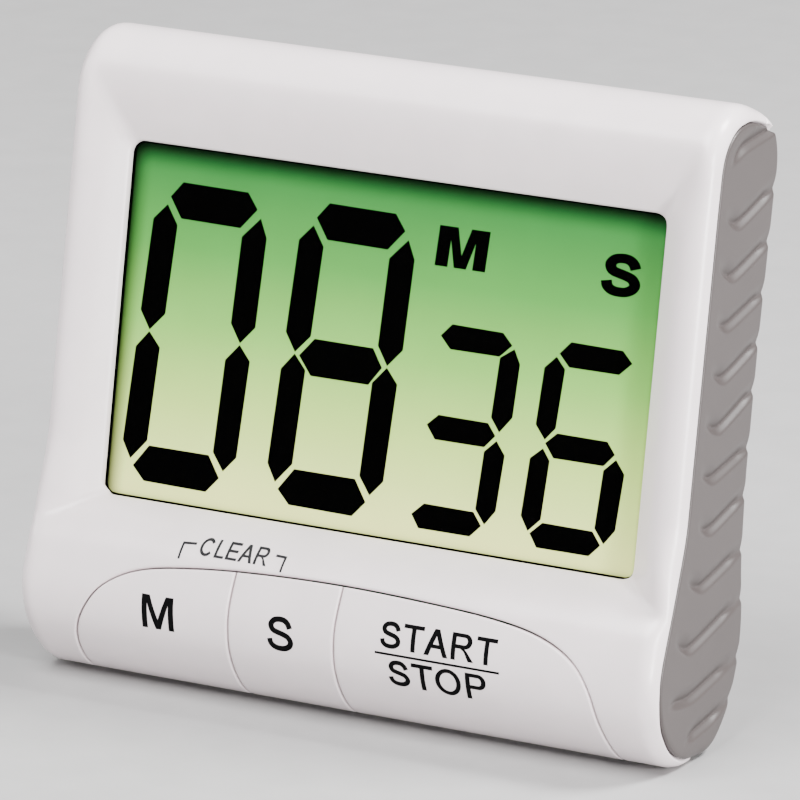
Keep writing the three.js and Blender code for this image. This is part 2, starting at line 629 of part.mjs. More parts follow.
function negativeSpring() {
  const { turns, points: count, widest, narrowest, wire } = SPRING;
  const start = -CONTACT.x + 0.3;
  const end = CELL.left - GAP - 0.5;
  const points = Array.from({ length: count + 1 }, (_, i) => {
    const t = i / count;
    const radius = widest + (narrowest - widest) * t;
    const angle = t * turns * 2 * Math.PI;
    return [
      start + (end - start) * t,
      CELL.y + radius * Math.cos(angle),
      CELL.z + radius * Math.sin(angle),
    ];
  });
  return contactPlate(-1).add(tube(points, wire, 42, 6));
}

// ---- leads: each one runs from its contact down to the circuit board ----
const CELL_LEAD = [[24.1, 8.1, 3.2], [24, 7.8, 1.2], [22, 6.6, -1], [20, 5.7, -2.6]];
const SOUNDER_LEAD = [[2.5, 7, -25], [3.2, 6.8, -20], [3.4, 6.3, -14], [3, 5.8, -8]];
const mirroredPath = (points) => points.map(([x, y, z]) => [-x, y, z]);
const LEADS = [
  { name: "battery_lead_red", material: RED_WIRE, points: CELL_LEAD },
  { name: "battery_lead_black", material: BLACK_WIRE, points: mirroredPath(CELL_LEAD) },
  { name: "sounder_lead_red", material: RED_WIRE, points: SOUNDER_LEAD },
  { name: "sounder_lead_black", material: BLACK_WIRE, points: mirroredPath(SOUNDER_LEAD) },
];
const LEAD_RADIUS = 0.45;

// ---- fasteners ----
function screw([x, z], { head, shank, headHeight, headBack, length }) {
  const seat = headBack - headHeight;
  const tip = seat - length;
  return turnedAlongY(x, z, [
    [0, tip], [shank * 0.4, tip], [shank, tip + shank], [shank, seat], [head, seat],
    [head, headBack - 0.3], [head - 0.4, headBack], [0, headBack],
  ], 12);
}

// ---- assembly ----
const timer = new THREE.Group();
const body = new THREE.Group();
body.rotation.x = -LEAN;
timer.add(body);

function place(name, made, material, parent = body) {
  const mesh = new THREE.Mesh(geometryOf(made), material);
  mesh.name = name;
  parent.add(mesh);
  return mesh;
}

place("front_shell", frontShell(), WHITE);
place("rear_shell", rearShell(), WHITE);
const rightGrip = gripBody();
place("grip_right", rightGrip, GREY_RUBBER);
place("grip_left", mirroredX(rightGrip), GREY_RUBBER);
for (const key of KEYS) place(key.name, keyBody(key), KEY_WHITE);

const { halfWidth: lensHalf, halfHeight: lensTop } = LENS;
place("display_lens", block(-lensHalf, lensHalf, LENS.front, LENS.back, -lensTop, lensTop), CLEAR);
place("lcd_front_glass", lcdPane(LCD.bottom, LCD_FRONT), GLASS);
place("lcd_rear_glass", lcdPane(LCD.rearBottom, LCD_REAR), GLASS);
place("lcd_reflector", lcdPane(LCD.rearBottom, REFLECTOR), GREEN_FILM);
place("display_frame", displayFrame(), FRAME_GREY);
place("zebra_strip", zebraStrip(), SILICONE);

place("circuit_board", circuitBoard(), BOARD_GREEN);
place("keypad_mat", keypadMat(), SILICONE);
KEYS.forEach(({ post }, i) =>
  place(`carbon_pill_${i + 1}`, discAlongY(post, DOME.z, ...PILL, 12), CARBON));
place("chip_blob", chipBlob(), EPOXY);
place("crystal", rodAlongX(6.4, 1.8, 1, 0, 6, 12), STEEL);
place("capacitor", capacitor(), EPOXY);

const sounderDisc = (radius, [front, back]) =>
  discAlongY(SOUNDER.x, SOUNDER.z, radius, front, back, 24);
place("sounder_plate", sounderDisc(SOUNDER.plate, SOUNDER.plateY), BRASS);
place("sounder_ceramic", sounderDisc(SOUNDER.ceramic, SOUNDER.ceramicY), CERAMIC);
for (const { name, material, points } of LEADS)
  place(name, tube(points, LEAD_RADIUS, 9), material);

place("battery", battery(), SLEEVE);
place("battery_contact_positive", contactPlate(1), NICKEL);
place("battery_contact_negative", negativeSpring(), NICKEL);
place("battery_door", batteryDoor(), WHITE);

for (const [side, name] of [[-1, "magnet_left"], [1, "magnet_right"]])
  place(name, discAlongY(side * MAGNET.x, CELL.z, MAGNET.radius, magnetFront(), POD.back, 20), ZINC);

SHELL_SCREWS.forEach((at, i) => place(`shell_screw_${i + 1}`, screw(at, SHELL_SCREW), STEEL));
BOARD_SCREWS.forEach((at, i) => place(`board_screw_${i + 1}`, screw(at, BOARD_SCREW), STEEL));

// The leg turns about its hinge. It is drawn closed, and stands open here.
const hinge = new THREE.Group();
hinge.position.set(0, HINGE.y, HINGE.z);
hinge.rotation.x = STAND_OPEN;
body.add(hinge);
const leg = place("stand_leg", standLeg(), WHITE, hinge);
leg.position.set(0, -HINGE.y, -HINGE.z);

// The origin is under the middle of the whole object, on the surface that it stands on.
timer.updateMatrixWorld(true);
const extent = new THREE.Box3().setFromObject(timer, true);
const middle = extent.getCenter(new THREE.Vector3());
body.position.set(-middle.x, -middle.y, -extent.min.z);

export default timer;
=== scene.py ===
"""Looks of a digital countdown timer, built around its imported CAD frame.

Shapes are worked out in the case's own millimetres: x to the right, y from the display towards the
back (0 at the edge of the display window), z up along the display. The frame says where that lies.
"""
import json
import math

import bpy
import numpy as np
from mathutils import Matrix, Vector, geometry, kdtree


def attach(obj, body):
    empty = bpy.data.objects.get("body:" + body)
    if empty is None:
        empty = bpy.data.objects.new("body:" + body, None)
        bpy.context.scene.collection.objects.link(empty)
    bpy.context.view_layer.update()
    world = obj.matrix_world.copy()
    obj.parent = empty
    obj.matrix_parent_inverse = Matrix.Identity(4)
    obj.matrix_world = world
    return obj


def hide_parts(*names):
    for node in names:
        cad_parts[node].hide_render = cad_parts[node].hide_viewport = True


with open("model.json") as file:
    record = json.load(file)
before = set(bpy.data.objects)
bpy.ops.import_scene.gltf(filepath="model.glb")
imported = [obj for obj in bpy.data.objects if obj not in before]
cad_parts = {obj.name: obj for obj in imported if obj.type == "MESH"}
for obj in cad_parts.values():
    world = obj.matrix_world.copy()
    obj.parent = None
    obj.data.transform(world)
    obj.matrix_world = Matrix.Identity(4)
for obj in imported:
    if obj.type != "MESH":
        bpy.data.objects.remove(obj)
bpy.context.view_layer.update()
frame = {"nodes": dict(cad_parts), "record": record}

MM = 0.001
JOINTS = {joint["name"]: joint for joint in frame["record"]["behaviour"]["joints"]}
RIGHT = np.array([1.0, 0.0, 0.0])
BACKWARD = np.array(JOINTS["minutes_press"]["axis"])
UPWARD = np.array(JOINTS["door_slide"]["axis"])
HINGE_Y, HINGE_Z = 10.9, -13.0
ORIGIN = np.array(JOINTS["stand_fold"]["pos_m"]) - MM * (HINGE_Y * BACKWARD + HINGE_Z * UPWARD)


def to_world(points):
    """Case millimetres to metres in the frame."""
    p = np.asarray(points, float).reshape(-1, 3)
    return ORIGIN + MM * (p[:, :1] * RIGHT + p[:, 1:2] * BACKWARD + p[:, 2:] * UPWARD)


# ---------------------------------------------------------------- camera
AZIMUTH, ELEVATION = math.radians(28.5), math.radians(16.78)
CAMERA_DISTANCE = 780.0
LENS_MM, SENSOR_MM = 331.6, 36.0
AIM_RIGHT, AIM_UP = 2.27, -4.59


def make_camera():
    back = np.array([math.sin(AZIMUTH) * math.cos(ELEVATION),
                     -math.cos(AZIMUTH) * math.cos(ELEVATION), math.sin(ELEVATION)])
    right = np.array([math.cos(AZIMUTH), math.sin(AZIMUTH), 0.0])
    up = np.cross(back, right)
    data = bpy.data.cameras.new("camera")
    data.lens = LENS_MM
    data.sensor_width = SENSOR_MM
    data.clip_start, data.clip_end = 0.05, 20
    camera = bpy.data.objects.new("camera", data)
    camera.location = ORIGIN + MM * (AIM_RIGHT * right + AIM_UP * up + CAMERA_DISTANCE * back)
    camera.rotation_euler = Vector(-back).to_track_quat("-Z", "Y").to_euler()
    bpy.context.scene.collection.objects.link(camera)
    bpy.context.scene.camera = camera


make_camera()

# ---------------------------------------------------------------- the case's outer form
HALF_WIDTH = 38.5
EDGE_ROUND = 2.0
BACK_EDGE = 0.7
FLAT_HALF = HALF_WIDTH - EDGE_ROUND
PARTING_Y = 9.0
FOOT_RISE = 3 * math.tan(math.radians(11))
FRONT_LOWER = [(-3, -13), (-3.4, -15.6), (-4.3, -20), (-5.2, -24), (-5.85, -27), (-5.95, -29.4),
               (-5, -32.5), (-3.2, -35), (-0.8, -37.1), (1.6, -38.35), (4.2, -38.8)]
FOOT_BACK = (7.2, -38.8 + FOOT_RISE)
BACK_LOWER = [FOOT_BACK, (9.1, -37.6), (11.5, -35.6), (13.6, -32.3), (14.7, -27.5), (14.5, -22.8),
              (13.2, -17), (12.3, -8)]
BACK_UPPER = [(12.1, 6), (12.4, 22.5)]
TOP_BEZIER = [(12.4, 22.5), (13.3, 28.2), (9.6, 31.1), (4.2, 31.3)]
TOP_CENTRE, TOP_RADII = np.array([4.2, 24.3]), np.array([7.2, 7.0])
STEP, SOFTNESS = 0.1, 7
SHARP_TURN = math.radians(25)
FINE = 4000
CRISP_FROM, CRISP_AT = 6.5, 11


def smooth_step(x, low, high):
    u = np.clip((x - low) / (high - low), 0, 1)
    return u * u * (3 - 2 * u)


def spline(points, per_span=12):
    """Catmull-Rom curve through the points."""
    p = np.array(points, float)
    p = np.vstack([2 * p[0] - p[1], p, 2 * p[-1] - p[-2]])
    t = np.linspace(0, 1, per_span, endpoint=False)[:, None]
    spans = []
    for a, b, c, d in zip(p[:-3], p[1:-2], p[2:-1], p[3:]):
        spans.append(0.5 * (2 * b + (c - a) * t + (2 * a - 5 * b + 4 * c - d) * t ** 2
                            + (3 * b - a - 3 * c + d) * t ** 3))
    return np.vstack(spans + [p[-2:-1]])


def bezier(points, count=24):
    a, b, c, d = np.array(points, float)
    t = np.linspace(0, 1, count)[:, None]
    return a * (1 - t) ** 3 + 3 * b * t * (1 - t) ** 2 + 3 * c * t ** 2 * (1 - t) + d * t ** 3


def run_points(line, step):
    """Evenly spaced points along an open row, without its last one."""
    length = np.concatenate([[0], np.cumsum(np.linalg.norm(np.diff(line, axis=0), axis=1))])
    count = max(int(math.ceil(length[-1] / step - 1e-6)), 1)
    at = np.linspace(0, length[-1], count + 1)[:-1]
    return np.column_stack([np.interp(at, length, line[:, k]) for k in range(2)])


def resample(points, step):
    """A closed outline in even steps that keep its corners."""
    p = np.asarray(points, float)
    p = p[np.linalg.norm(p - np.roll(p, 1, axis=0), axis=1) > 1e-6]
    before, after = p - np.roll(p, 1, axis=0), np.roll(p, -1, axis=0) - p
    turn = np.abs(np.arctan2(before[:, 0] * after[:, 1] - before[:, 1] * after[:, 0],
                             np.sum(before * after, axis=1)))
    corners = list(np.flatnonzero(turn > SHARP_TURN)) or [0]
    p = np.vstack([p, p])
    runs = []
    for a, b in zip(corners, corners[1:] + [corners[0] + len(turn)]):
        runs.append(run_points(p[a:b + 1] if b < len(p) else p[a:], step))
    return np.vstack(runs)


def smoothed(points, sigma):
    """A closed row of evenly spaced points, softened over about sigma steps."""
    reach = int(3 * sigma)
    weights = np.exp(-0.5 * (np.arange(-reach, reach + 1) / sigma) ** 2)
    weights /= weights.sum()
    return sum(w * np.roll(points, k, axis=0) for k, w in zip(range(-reach, reach + 1), weights))


class Profile:
    """The side profile as (y, z), by t, the millimetres along it: down the front, along the foot,
    up the back and over the top."""

    def __init__(self):
        angle = np.linspace(math.pi / 2, math.pi, 24)
        top = TOP_CENTRE + TOP_RADII * np.column_stack([np.cos(angle), np.sin(angle)])
        loop = np.vstack([spline(FRONT_LOWER), spline(BACK_LOWER), BACK_UPPER, bezier(TOP_BEZIER), top])
        self.points = smoothed(resample(loop, STEP), SOFTNESS)
        ahead = np.roll(self.points, -1, axis=0) - np.roll(self.points, 1, axis=0)
        ahead /= np.linalg.norm(ahead, axis=1, keepdims=True)
        self.normals = np.column_stack([ahead[:, 1], -ahead[:, 0]])
        gaps = np.linalg.norm(np.roll(self.points, -1, axis=0) - self.points, axis=1)
        self.length = gaps.sum()
        self.t = np.concatenate([[0], np.cumsum(gaps)])
        heights = self.points[:, 1]
        self.foot, self.top = self.t[np.argmin(heights)], self.t[np.argmax(heights)]

    def _at(self, table, t):
        rows = np.vstack([table, table[:1]])
        t = np.mod(t, self.length)
        return np.column_stack([np.interp(t, self.t, rows[:, 0]), np.interp(t, self.t, rows[:, 1])])

    def point(self, t):
        return self._at(self.points, t)

    def normal(self, t):
        n = self._at(self.normals, t)
        return n / np.linalg.norm(n, axis=1, keepdims=True)

    def crossing(self, column, value, low, high):
        """The t between low and high where y (0) or z (1) takes this value."""
        t = np.linspace(low, high, FINE // 2)
        return float(t[np.argmin(np.abs(self.point(t)[:, column] - value))])

    def front_t(self, z):
        """t on the front for heights z, counted on from the top, so it grows downwards."""
        t = np.linspace(self.top - self.length, self.foot, FINE)
        heights = self.point(t)[:, 1]
        return np.interp(-np.asarray(z, float), -heights, t)


PROFILE = Profile()
TOP_PARTING = PROFILE.crossing(0, PARTING_Y, PROFILE.top - 12, PROFILE.top) - PROFILE.length
FOOT_PARTING = PROFILE.crossing(0, PARTING_Y, PROFILE.foot, PROFILE.foot + 12)


def edge_radius(t):
    """The radius between the skin and the side face: full in front, crisp at the back."""
    y = PROFILE.point(t)[:, 0]
    return EDGE_ROUND + (BACK_EDGE - EDGE_ROUND) * smooth_step(y, CRISP_FROM, CRISP_AT)


def skin_place(s, t, depth=0.0):
    """A point on the outer form: s is the way out from the middle, over the rounded side edge."""
    radius = edge_radius(t)
    beyond = np.maximum(np.abs(s) - FLAT_HALF, 0)
    level = EDGE_ROUND - radius
    a = np.clip((beyond - level) / radius, 0, math.pi / 2)
    x = np.minimum(np.abs(s), FLAT_HALF + level) + radius * np.sin(a)
    inset = radius * (1 - np.cos(a))
    normal = PROFILE.normal(t)
    yz = PROFILE.point(t) - normal * inset[:, None]
    out = np.column_stack([np.sign(s) * np.sin(a), normal * np.cos(a)[:, None]])
    return np.column_stack([np.sign(s) * x, yz]) - out * np.reshape(depth, (-1, 1))


def skin_form(s, t):
    """A point on the outer form and the way out of it there."""
    skin = skin_place(s, t)
    return skin, skin - skin_place(s, t, 1.0)


# ---------------------------------------------------------------- flat regions and their triangles
BATCH = 4000
EDGE_SAMPLE, ON_EDGE = 0.05, 0.028
THINNEST_ROW, THINNEST_GRID = 0.7, 0.6


def inside(points, outline):
    """Which points lie inside a closed outline."""
    p = np.asarray(points, float)
    a, b = outline, np.roll(outline, -1, axis=0)
    rise = np.where(b[:, 1] == a[:, 1], 1e-12, b[:, 1] - a[:, 1])
    result = np.zeros(len(p), bool)
    for low in range(0, len(p), BATCH):
        q = p[low:low + BATCH]
        crosses = (a[None, :, 1] > q[:, None, 1]) != (b[None, :, 1] > q[:, None, 1])
        x = a[None, :, 0] + (q[:, None, 1] - a[None, :, 1]) / rise * (b[:, 0] - a[:, 0])
        result[low:low + BATCH] = (crosses & (q[:, None, 0] < x)).sum(1) % 2 == 1
    return result


def within(points, edges):
    """Which points lie inside the first edge and outside the others."""
    ok = inside(points, edges[0])
    for hole in edges[1:]:
        ok &= ~inside(points, hole)
    return ok


def nearest(points, targets):
    """Each point's distance to the nearest of the targets, and that target's number."""
    tree = kdtree.KDTree(len(targets))
    for i, (a, b) in enumerate(targets):
        tree.insert((a, b, 0), i)
    tree.balance()
    found = [tree.find((a, b, 0)) for a, b in points]
    return np.array([f[2] for f in found]), np.array([f[1] for f in found])


def sideways(line):
    """Unit vectors across a closed row of points."""
    along = np.roll(line, -1, axis=0) - np.roll(line, 1, axis=0)
    along /= np.linalg.norm(along, axis=1, keepdims=True) + 1e-12
    return np.column_stack([along[:, 1], -along[:, 0]])


def ring_points(edges, dense, way):
    """Points this far in from the edges."""
    row = np.vstack([line + side * way * sideways(line) for line in edges for side in (1, -1)])
    row = row[within(row, edges)]
    away, _ = nearest(row, dense)
    return row[np.abs(away - way) < 0.03 + 0.05 * way]


def thinned(batch, kept, limit):
    """The points of a batch that are farther than the limit from those kept."""
    if not len(batch):
        return batch
    away, _ = nearest(batch, kept)
    return batch[away > limit]


def staggered(x0, x1, y0, y1, gap):
    """An even grid of points whose every other row is shifted by half a gap."""
    xs, ys = np.meshgrid(np.arange(x0 + gap / 2, x1, gap), np.arange(y0 + gap / 2, y1, gap))
    xs[1::2] += gap / 2
    return np.column_stack([xs.ravel(), ys.ravel()])


def fill(edges, spacing=0.6, rings=(), border_step=None, dense_areas=()):
    """Triangles over the region inside the first edge and outside the others. Returns its points,
    its triangles and each point's way in from the edge. rings are ways in that get a row of points.
    dense_areas are (x0, x1, y0, y1, spacing) boxes with closer points."""
    edges = [resample(line, border_step or spacing * 0.7) for line in edges]
    dense = np.vstack([resample(line, EDGE_SAMPLE) for line in edges])
    kept = np.vstack(edges)
    last = 0.0
    for way in rings:
        row = thinned(ring_points(edges, dense, way), kept, THINNEST_ROW * (way - last))
        kept = np.vstack([kept, row])
        last = way
    low, high = edges[0].min(0), edges[0].max(0)
    areas = list(dense_areas) + [(low[0], high[0], low[1], high[1], spacing)]
    for x0, x1, y0, y1, gap in areas:
        grid = staggered(x0, x1, y0, y1, gap)
        if len(grid):
            grid = thinned(grid[within(grid, edges)], kept, gap * THINNEST_GRID)
        kept = np.vstack([kept, grid])
    links, start = [], 0
    for line in edges:
        count = len(line)
        links += [(start + i, start + (i + 1) % count) for i in range(count)]
        start += count
    made = geometry.delaunay_2d_cdt([Vector(p) for p in kept], links, [], 0, 1e-7)
    points = np.array([tuple(v) for v in made[0]])
    faces = np.array([f for f in made[2] if len(f) == 3])
    faces = faces[within(points[faces].mean(1), edges)]
    used = np.unique(faces)
    renumber = np.zeros(len(points), int)
    renumber[used] = np.arange(len(used))
    points, faces = points[used], renumber[faces]
    way_in, _ = nearest(points, dense)
    way_in[way_in < ON_EDGE] = 0
    return points, faces, way_in


def edge_drop(way_in, radius):
    """How far a rounded edge of this radius falls away, at a way in from it."""
    d = np.clip(way_in, 0, radius)
    return radius - np.sqrt(np.maximum(radius ** 2 - (radius - d) ** 2, 0))


# ---------------------------------------------------------------- meshes
FLAT_SHARP, EDGED_SHARP = 30, 35


def piece_from(name, points, faces, material, body, replaces=(), slot=None, sharp=50):
    """A smooth mesh piece from case millimetres, riding on a body."""
    mesh = bpy.data.meshes.new(name)
    mesh.from_pydata([tuple(p) for p in to_world(points)], [], [tuple(int(i) for i in f) for f in faces])
    mesh.update()
    mesh.shade_smooth()
    mesh.set_sharp_from_angle(angle=math.radians(sharp))
    made = bpy.data.objects.new(name, mesh)
    bpy.context.scene.collection.objects.link(made)
    mesh.materials.append(material)
    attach(made, body)
    if replaces:
        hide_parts(*replaces)


def thickened(outer, faces, inner):
    """Closes an open sheet into a wall between its outer points and the matching inner ones."""
    faces = np.asarray(faces)
    a, b, c = (outer[faces[:, k]] for k in range(3))
    outward = np.cross(b - a, c - a)
    if np.sum(outward * (outer - inner)[faces[:, 0]]) < 0:
        faces = faces[:, ::-1]
    count = len(outer)
    directed = {(f[i], f[(i + 1) % 3]) for f in faces.tolist() for i in range(3)}
    walls = [(b, a, a + count, b + count) for a, b in sorted(directed) if (b, a) not in directed]
    closed = [tuple(f) for f in faces] + [tuple(f[::-1] + count) for f in faces] + walls
    return np.vstack([outer, inner]), closed


def at_depth(flat, y):
    """Points of (x, z) set at this y, one for all or one each."""
    return np.column_stack([flat[:, 0], np.full(len(flat), y, float), flat[:, 1]])


def prism(edges, y_front, y_back, spacing=1.5, border_step=0.25):
    """A plate between two depths whose outline is given as (x, z)."""
    flat, faces, _ = fill(edges, spacing, border_step=border_step)
    outer = at_depth(flat, y_front)
    inner = outer + (0, y_back - y_front, 0)
    return thickened(outer, faces, inner)


def joined(parts):
    """Several (points, faces) as one."""
    points, faces, start = [], [], 0
    for p, f in parts:
        points.append(p)
        faces += [tuple(int(i) + start for i in face) for face in f]
        start += len(p)
    return np.vstack(points), faces


def smooth_max(a, b, k):
    h = np.maximum(k - np.abs(a - b), 0) / k
    return np.maximum(a, b) + h * h * k / 4


# ---------------------------------------------------------------- materials
def material(name, build):
    """A node material: build gets the tree, the shader and the coordinates in millimetres."""
    made = bpy.data.materials.new(name)
    made.use_nodes = True
    tree = made.node_tree
    shader = tree.nodes["Principled BSDF"]
    coords = tree.nodes.new("ShaderNodeTexCoord")
    scale = tree.nodes.new("ShaderNodeVectorMath")
    scale.operation = "SCALE"
    scale.inputs["Scale"].default_value = 1 / MM
    tree.links.new(coords.outputs["Object"], scale.inputs[0])
    build(tree, shader, scale.outputs[0])
    return made


def noise(tree, mm, size, detail=3.0):
    """Noise whose grains are about this many millimetres."""
    node = tree.nodes.new("ShaderNodeTexNoise")
    node.inputs["Scale"].default_value = 1 / size
    node.inputs["Detail"].default_value = detail
    tree.links.new(mm, node.inputs["Vector"])
    return node.outputs["Fac"]


def ramp(tree, factor, stops):
    """A colour ramp of (position, linear colour) stops."""
    node = tree.nodes.new("ShaderNodeValToRGB")
    ends = node.color_ramp.elements
    while len(ends) < len(stops):
        ends.new(0.5)
    for end, (position, colour) in zip(ends, stops):
        end.position = position
        end.color = (*colour, 1)
    tree.links.new(factor, node.inputs["Fac"])
    return node.outputs["Color"]


def bumped(tree, shader, height, strength, distance):
    node = tree.nodes.new("ShaderNodeBump")
    node.inputs["Strength"].default_value = strength
    node.inputs["Distance"].default_value = distance * MM
    tree.links.new(height, node.inputs["Height"])
    tree.links.new(node.outputs[0], shader.inputs["Normal"])


def linear(r, g, b):
    """An sRGB colour of 0 to 255 as linear values."""
    return tuple(c / 12.92 if c <= 0.04045 else ((c + 0.055) / 1.055) ** 2.4
                 for c in (r / 255, g / 255, b / 255))


def tinted(colour, by):
    return tuple(min(c * by, 1.0) for c in colour)


CLOUD_MM = 6.0
DARK_AT, LIGHT_AT = 0.3, 0.7


def moulded(name, colour, roughness, grain=0.25, depth=0.004, sheen=0.5, spread=0.03):
    """Moulded plastic or rubber with a fine grain and a slight unevenness of tone."""
    tones = [(DARK_AT, tinted(colour, 1 - spread)), (LIGHT_AT, tinted(colour, 1 + spread))]

    def build(tree, shader, mm):
        hue = ramp(tree, noise(tree, mm, CLOUD_MM), tones)
        tree.links.new(hue, shader.inputs["Base Color"])
        shader.inputs["Roughness"].default_value = roughness
        shader.inputs["Specular IOR Level"].default_value = sheen
        bumped(tree, shader, noise(tree, mm, grain, 2.0), 0.5, depth)
    return material(name, build)


WHITE_SHELL = moulded("shell_abs", linear(236, 225, 227), 0.29)
WHITE_KEY = moulded("key_abs", linear(236, 225, 227), 0.29)
GRIP_RUBBER = moulded("grip_rubber", linear(72, 66, 65), 0.42, grain=0.2, depth=0.006)
INK = moulded("ink", linear(6, 6, 7), 0.7, sheen=0.05)
GREY_INK = moulded("grey_ink", linear(38, 38, 40), 0.7, sheen=0.1)
SEGMENT_BLACK = moulded("segment_black", linear(2, 2, 2), 0.8, sheen=0.0)

# ---------------------------------------------------------------- front shell and keys
WINDOW_HALF = (32.1, 19.25)
WINDOW_CORNER = 1.4
SIDE_SLOPE, TOP_SLOPE, FOOT_SLOPE = 3 / 3.3, 3 / 6.0, 1.6
CREST = {"side": 1.4, "top": 2.6, "foot": 3.2}
MITRE = 0.35
WALL = 1.5
SHELL_EDGE = 0.25
SEAM_HALF = 0.1
EDGE_ROWS = (0.04, 0.1, 0.17, 0.25, 0.45, 0.8)
FRONT_SPACING, FRONT_STEP = 0.75, 0.35
UPPER_CREST, FOOT_CREST = (17, 23), (-22, -17)
BY_WINDOW, WINDOW_BACK = 2, 0.42
RIM = [(9.0, -38.0, 0.0), (8.0, -38.1, 0.05), (6.5, -38.3, 0.55), (4.7, -38.7, 0.85), (2.4, -38.5, 1.05),
       (-1.0, -36.9, 1.1), (-3.4, -34.8, 1.25), (-5.0, -32.5, 1.65), (-5.9, -30, 1.9), (-5.9, -28, 1.9),
       (-4.3, -20, 1.9), (-3, -10, 1.9), (-3, 20, 1.9), (-2.2, 26, 2.0), (0, 29.9, 2.0),
       (3, 31.2, 2.0), (5.3, 31.2, 1.75), (8.8, 30.3, 1.25), (10.2, 29.2, 0.5), (11, 28, 0.0)]
KEY_TOP = [(-32.2, -38.5), (-31.6, -34.5), (-30.2, -31.2), (-27.6, -28), (-23.3, -25.85),
           (-16.3, -24.75), (-8.3, -24.2), (0.6, -24.0), (9.6, -24.2), (18.5, -24.7), (24.5, -25.7),
           (28.7, -27.7), (30.9, -30.7), (31.8, -35), (32.1, -38.5)]
KEY_END_Y, OPENING_END_Y = 2.9, 3.8
DIVIDERS = (-11.9, 0.97)
DIVIDER_LEAN = 0.055
DIVIDER_TOP, DIVIDER_FOOT = -24.0, -38.0


def rim_ends(t):
    """s where the shell meets the side grips: RIM has (y, z, the white rim's width on the round)."""
    where = [float(PROFILE.t[np.argmin(np.hypot(*(PROFILE.points - (y, z)).T))]) for y, z, _ in RIM]
    where = np.array([w - PROFILE.length if w > PROFILE.foot + 60 else w for w in where])
    order = np.argsort(where)
    widths = np.array([w for _, _, w in RIM])[order]
    at = np.mod(t - where[order][0], PROFILE.length) + where[order][0]
    width = np.interp(at, where[order], widths, right=0.0)
    radius = edge_radius(t)
    full = FLAT_HALF + EDGE_ROUND - radius + radius * np.arccos(1 - np.minimum(width / radius, 1))
    return FLAT_HALF + (full - FLAT_HALF) * smooth_step(width, 0, 0.4)


def rounded_box(half_x, half_z, corner, steps=8):
    line = []
    for turn, (sx, sz) in enumerate([(1, 1), (-1, 1), (-1, -1), (1, -1)]):
        for a in np.linspace(0, math.pi / 2, steps):
            angle = a + turn * math.pi / 2
            line.append((sx * (half_x - corner) + corner * math.cos(angle),
                         sz * (half_z - corner) + corner * math.sin(angle)))
    return np.array(line)


def front_outline(points):
    """(x, z) on the front as (s, t)."""
    p = np.asarray(points, float)
    return np.column_stack([p[:, 0], PROFILE.front_t(p[:, 1])])


def key_line():
    """The keys' common outline from its lower left over the top to its lower right, as (s, t)."""
    return front_outline(spline(KEY_TOP, 16))


def key_outline(seam, end_y):
    """The keys' outline, widened by the seam, down to this y on the underside."""
    line = key_line()
    end = PROFILE.crossing(0, end_y, PROFILE.foot - 6, PROFILE.foot)
    closed = np.vstack([line, [(line[-1, 0], end)], [(line[0, 0], end)]])
    closed = resample(closed, 0.1)
    middle = closed.mean(0)
    step = sideways(closed)
    outwards = np.sign(np.sum(step * (closed - middle), axis=1).sum())
    moved = closed + seam * outwards * step
    moved[:, 1] = np.minimum(moved[:, 1], end)
    return moved


def bezel_depth(x, z):
    """y of the funnel that runs from the shell's front down to the window."""
    side = -SIDE_SLOPE * (np.abs(x) - WINDOW_HALF[0])
    top = -TOP_SLOPE * (z - WINDOW_HALF[1])
    foot = -FOOT_SLOPE * (-WINDOW_HALF[1] - z)
    funnel = -smooth_max(-side, -top, MITRE)
    return -smooth_max(-funnel, -foot, MITRE)


def front_form(s, t):
    """A point on the shell's front, bezel included, and the way out of the form there."""
    skin, out = skin_form(s, t)
    x, y, z = skin.T
    crest = CREST["side"] + (CREST["top"] - CREST["side"]) * smooth_step(z, *UPPER_CREST)
    crest = CREST["foot"] + (crest - CREST["foot"]) * smooth_step(z, *FOOT_CREST)
    lowered = smooth_max(y, bezel_depth(x, z), crest)
    on_front = (t < PROFILE.foot - 4) & (t > PROFILE.top - PROFILE.length + 2)
    return np.column_stack([x, np.where(on_front, lowered, y), z]), out


def between_grips(t_start, t_end):
    """The edge as (s, t) of the shell between the side grips, from one parting line to the other."""
    t = np.linspace(t_start, t_end, 400)
    ends = rim_ends(t) - SEAM_HALF
    return np.vstack([np.column_stack([ends, t]), np.column_stack([-ends[::-1], t[::-1]])])


def walled(form, way_in, edge_round):
    """The outer and inner points of a wall with rounded edges, from its form and the way out of it."""
    outer, out = form
    drop = edge_drop(way_in, edge_round)
    outer = outer - out * drop[:, None]
    return outer, outer - out * (WALL - drop)[:, None]


def make_front_shell():
    edges = [between_grips(TOP_PARTING, FOOT_PARTING),
             front_outline(rounded_box(*WINDOW_HALF, WINDOW_CORNER)),
             key_outline(SEAM_HALF, OPENING_END_Y)]
    flat, faces, way_in = fill(edges, FRONT_SPACING, rings=EDGE_ROWS, border_step=FRONT_STEP)
    outer, inner = walled(front_form(*flat.T), way_in, SHELL_EDGE)
    x, _, z = np.abs(inner).T
    by_window = np.maximum(x - WINDOW_HALF[0], z - WINDOW_HALF[1]) < BY_WINDOW
    inner[:, 1] = np.where(by_window, np.minimum(inner[:, 1], WINDOW_BACK), inner[:, 1])
    piece_from("front_shell_skin", *thickened(outer, faces, inner), WHITE_SHELL, "case",
               ["front_shell"], "shell_white")


def divider_x(index, z):
    return DIVIDERS[index] + DIVIDER_LEAN * (z - DIVIDER_TOP)


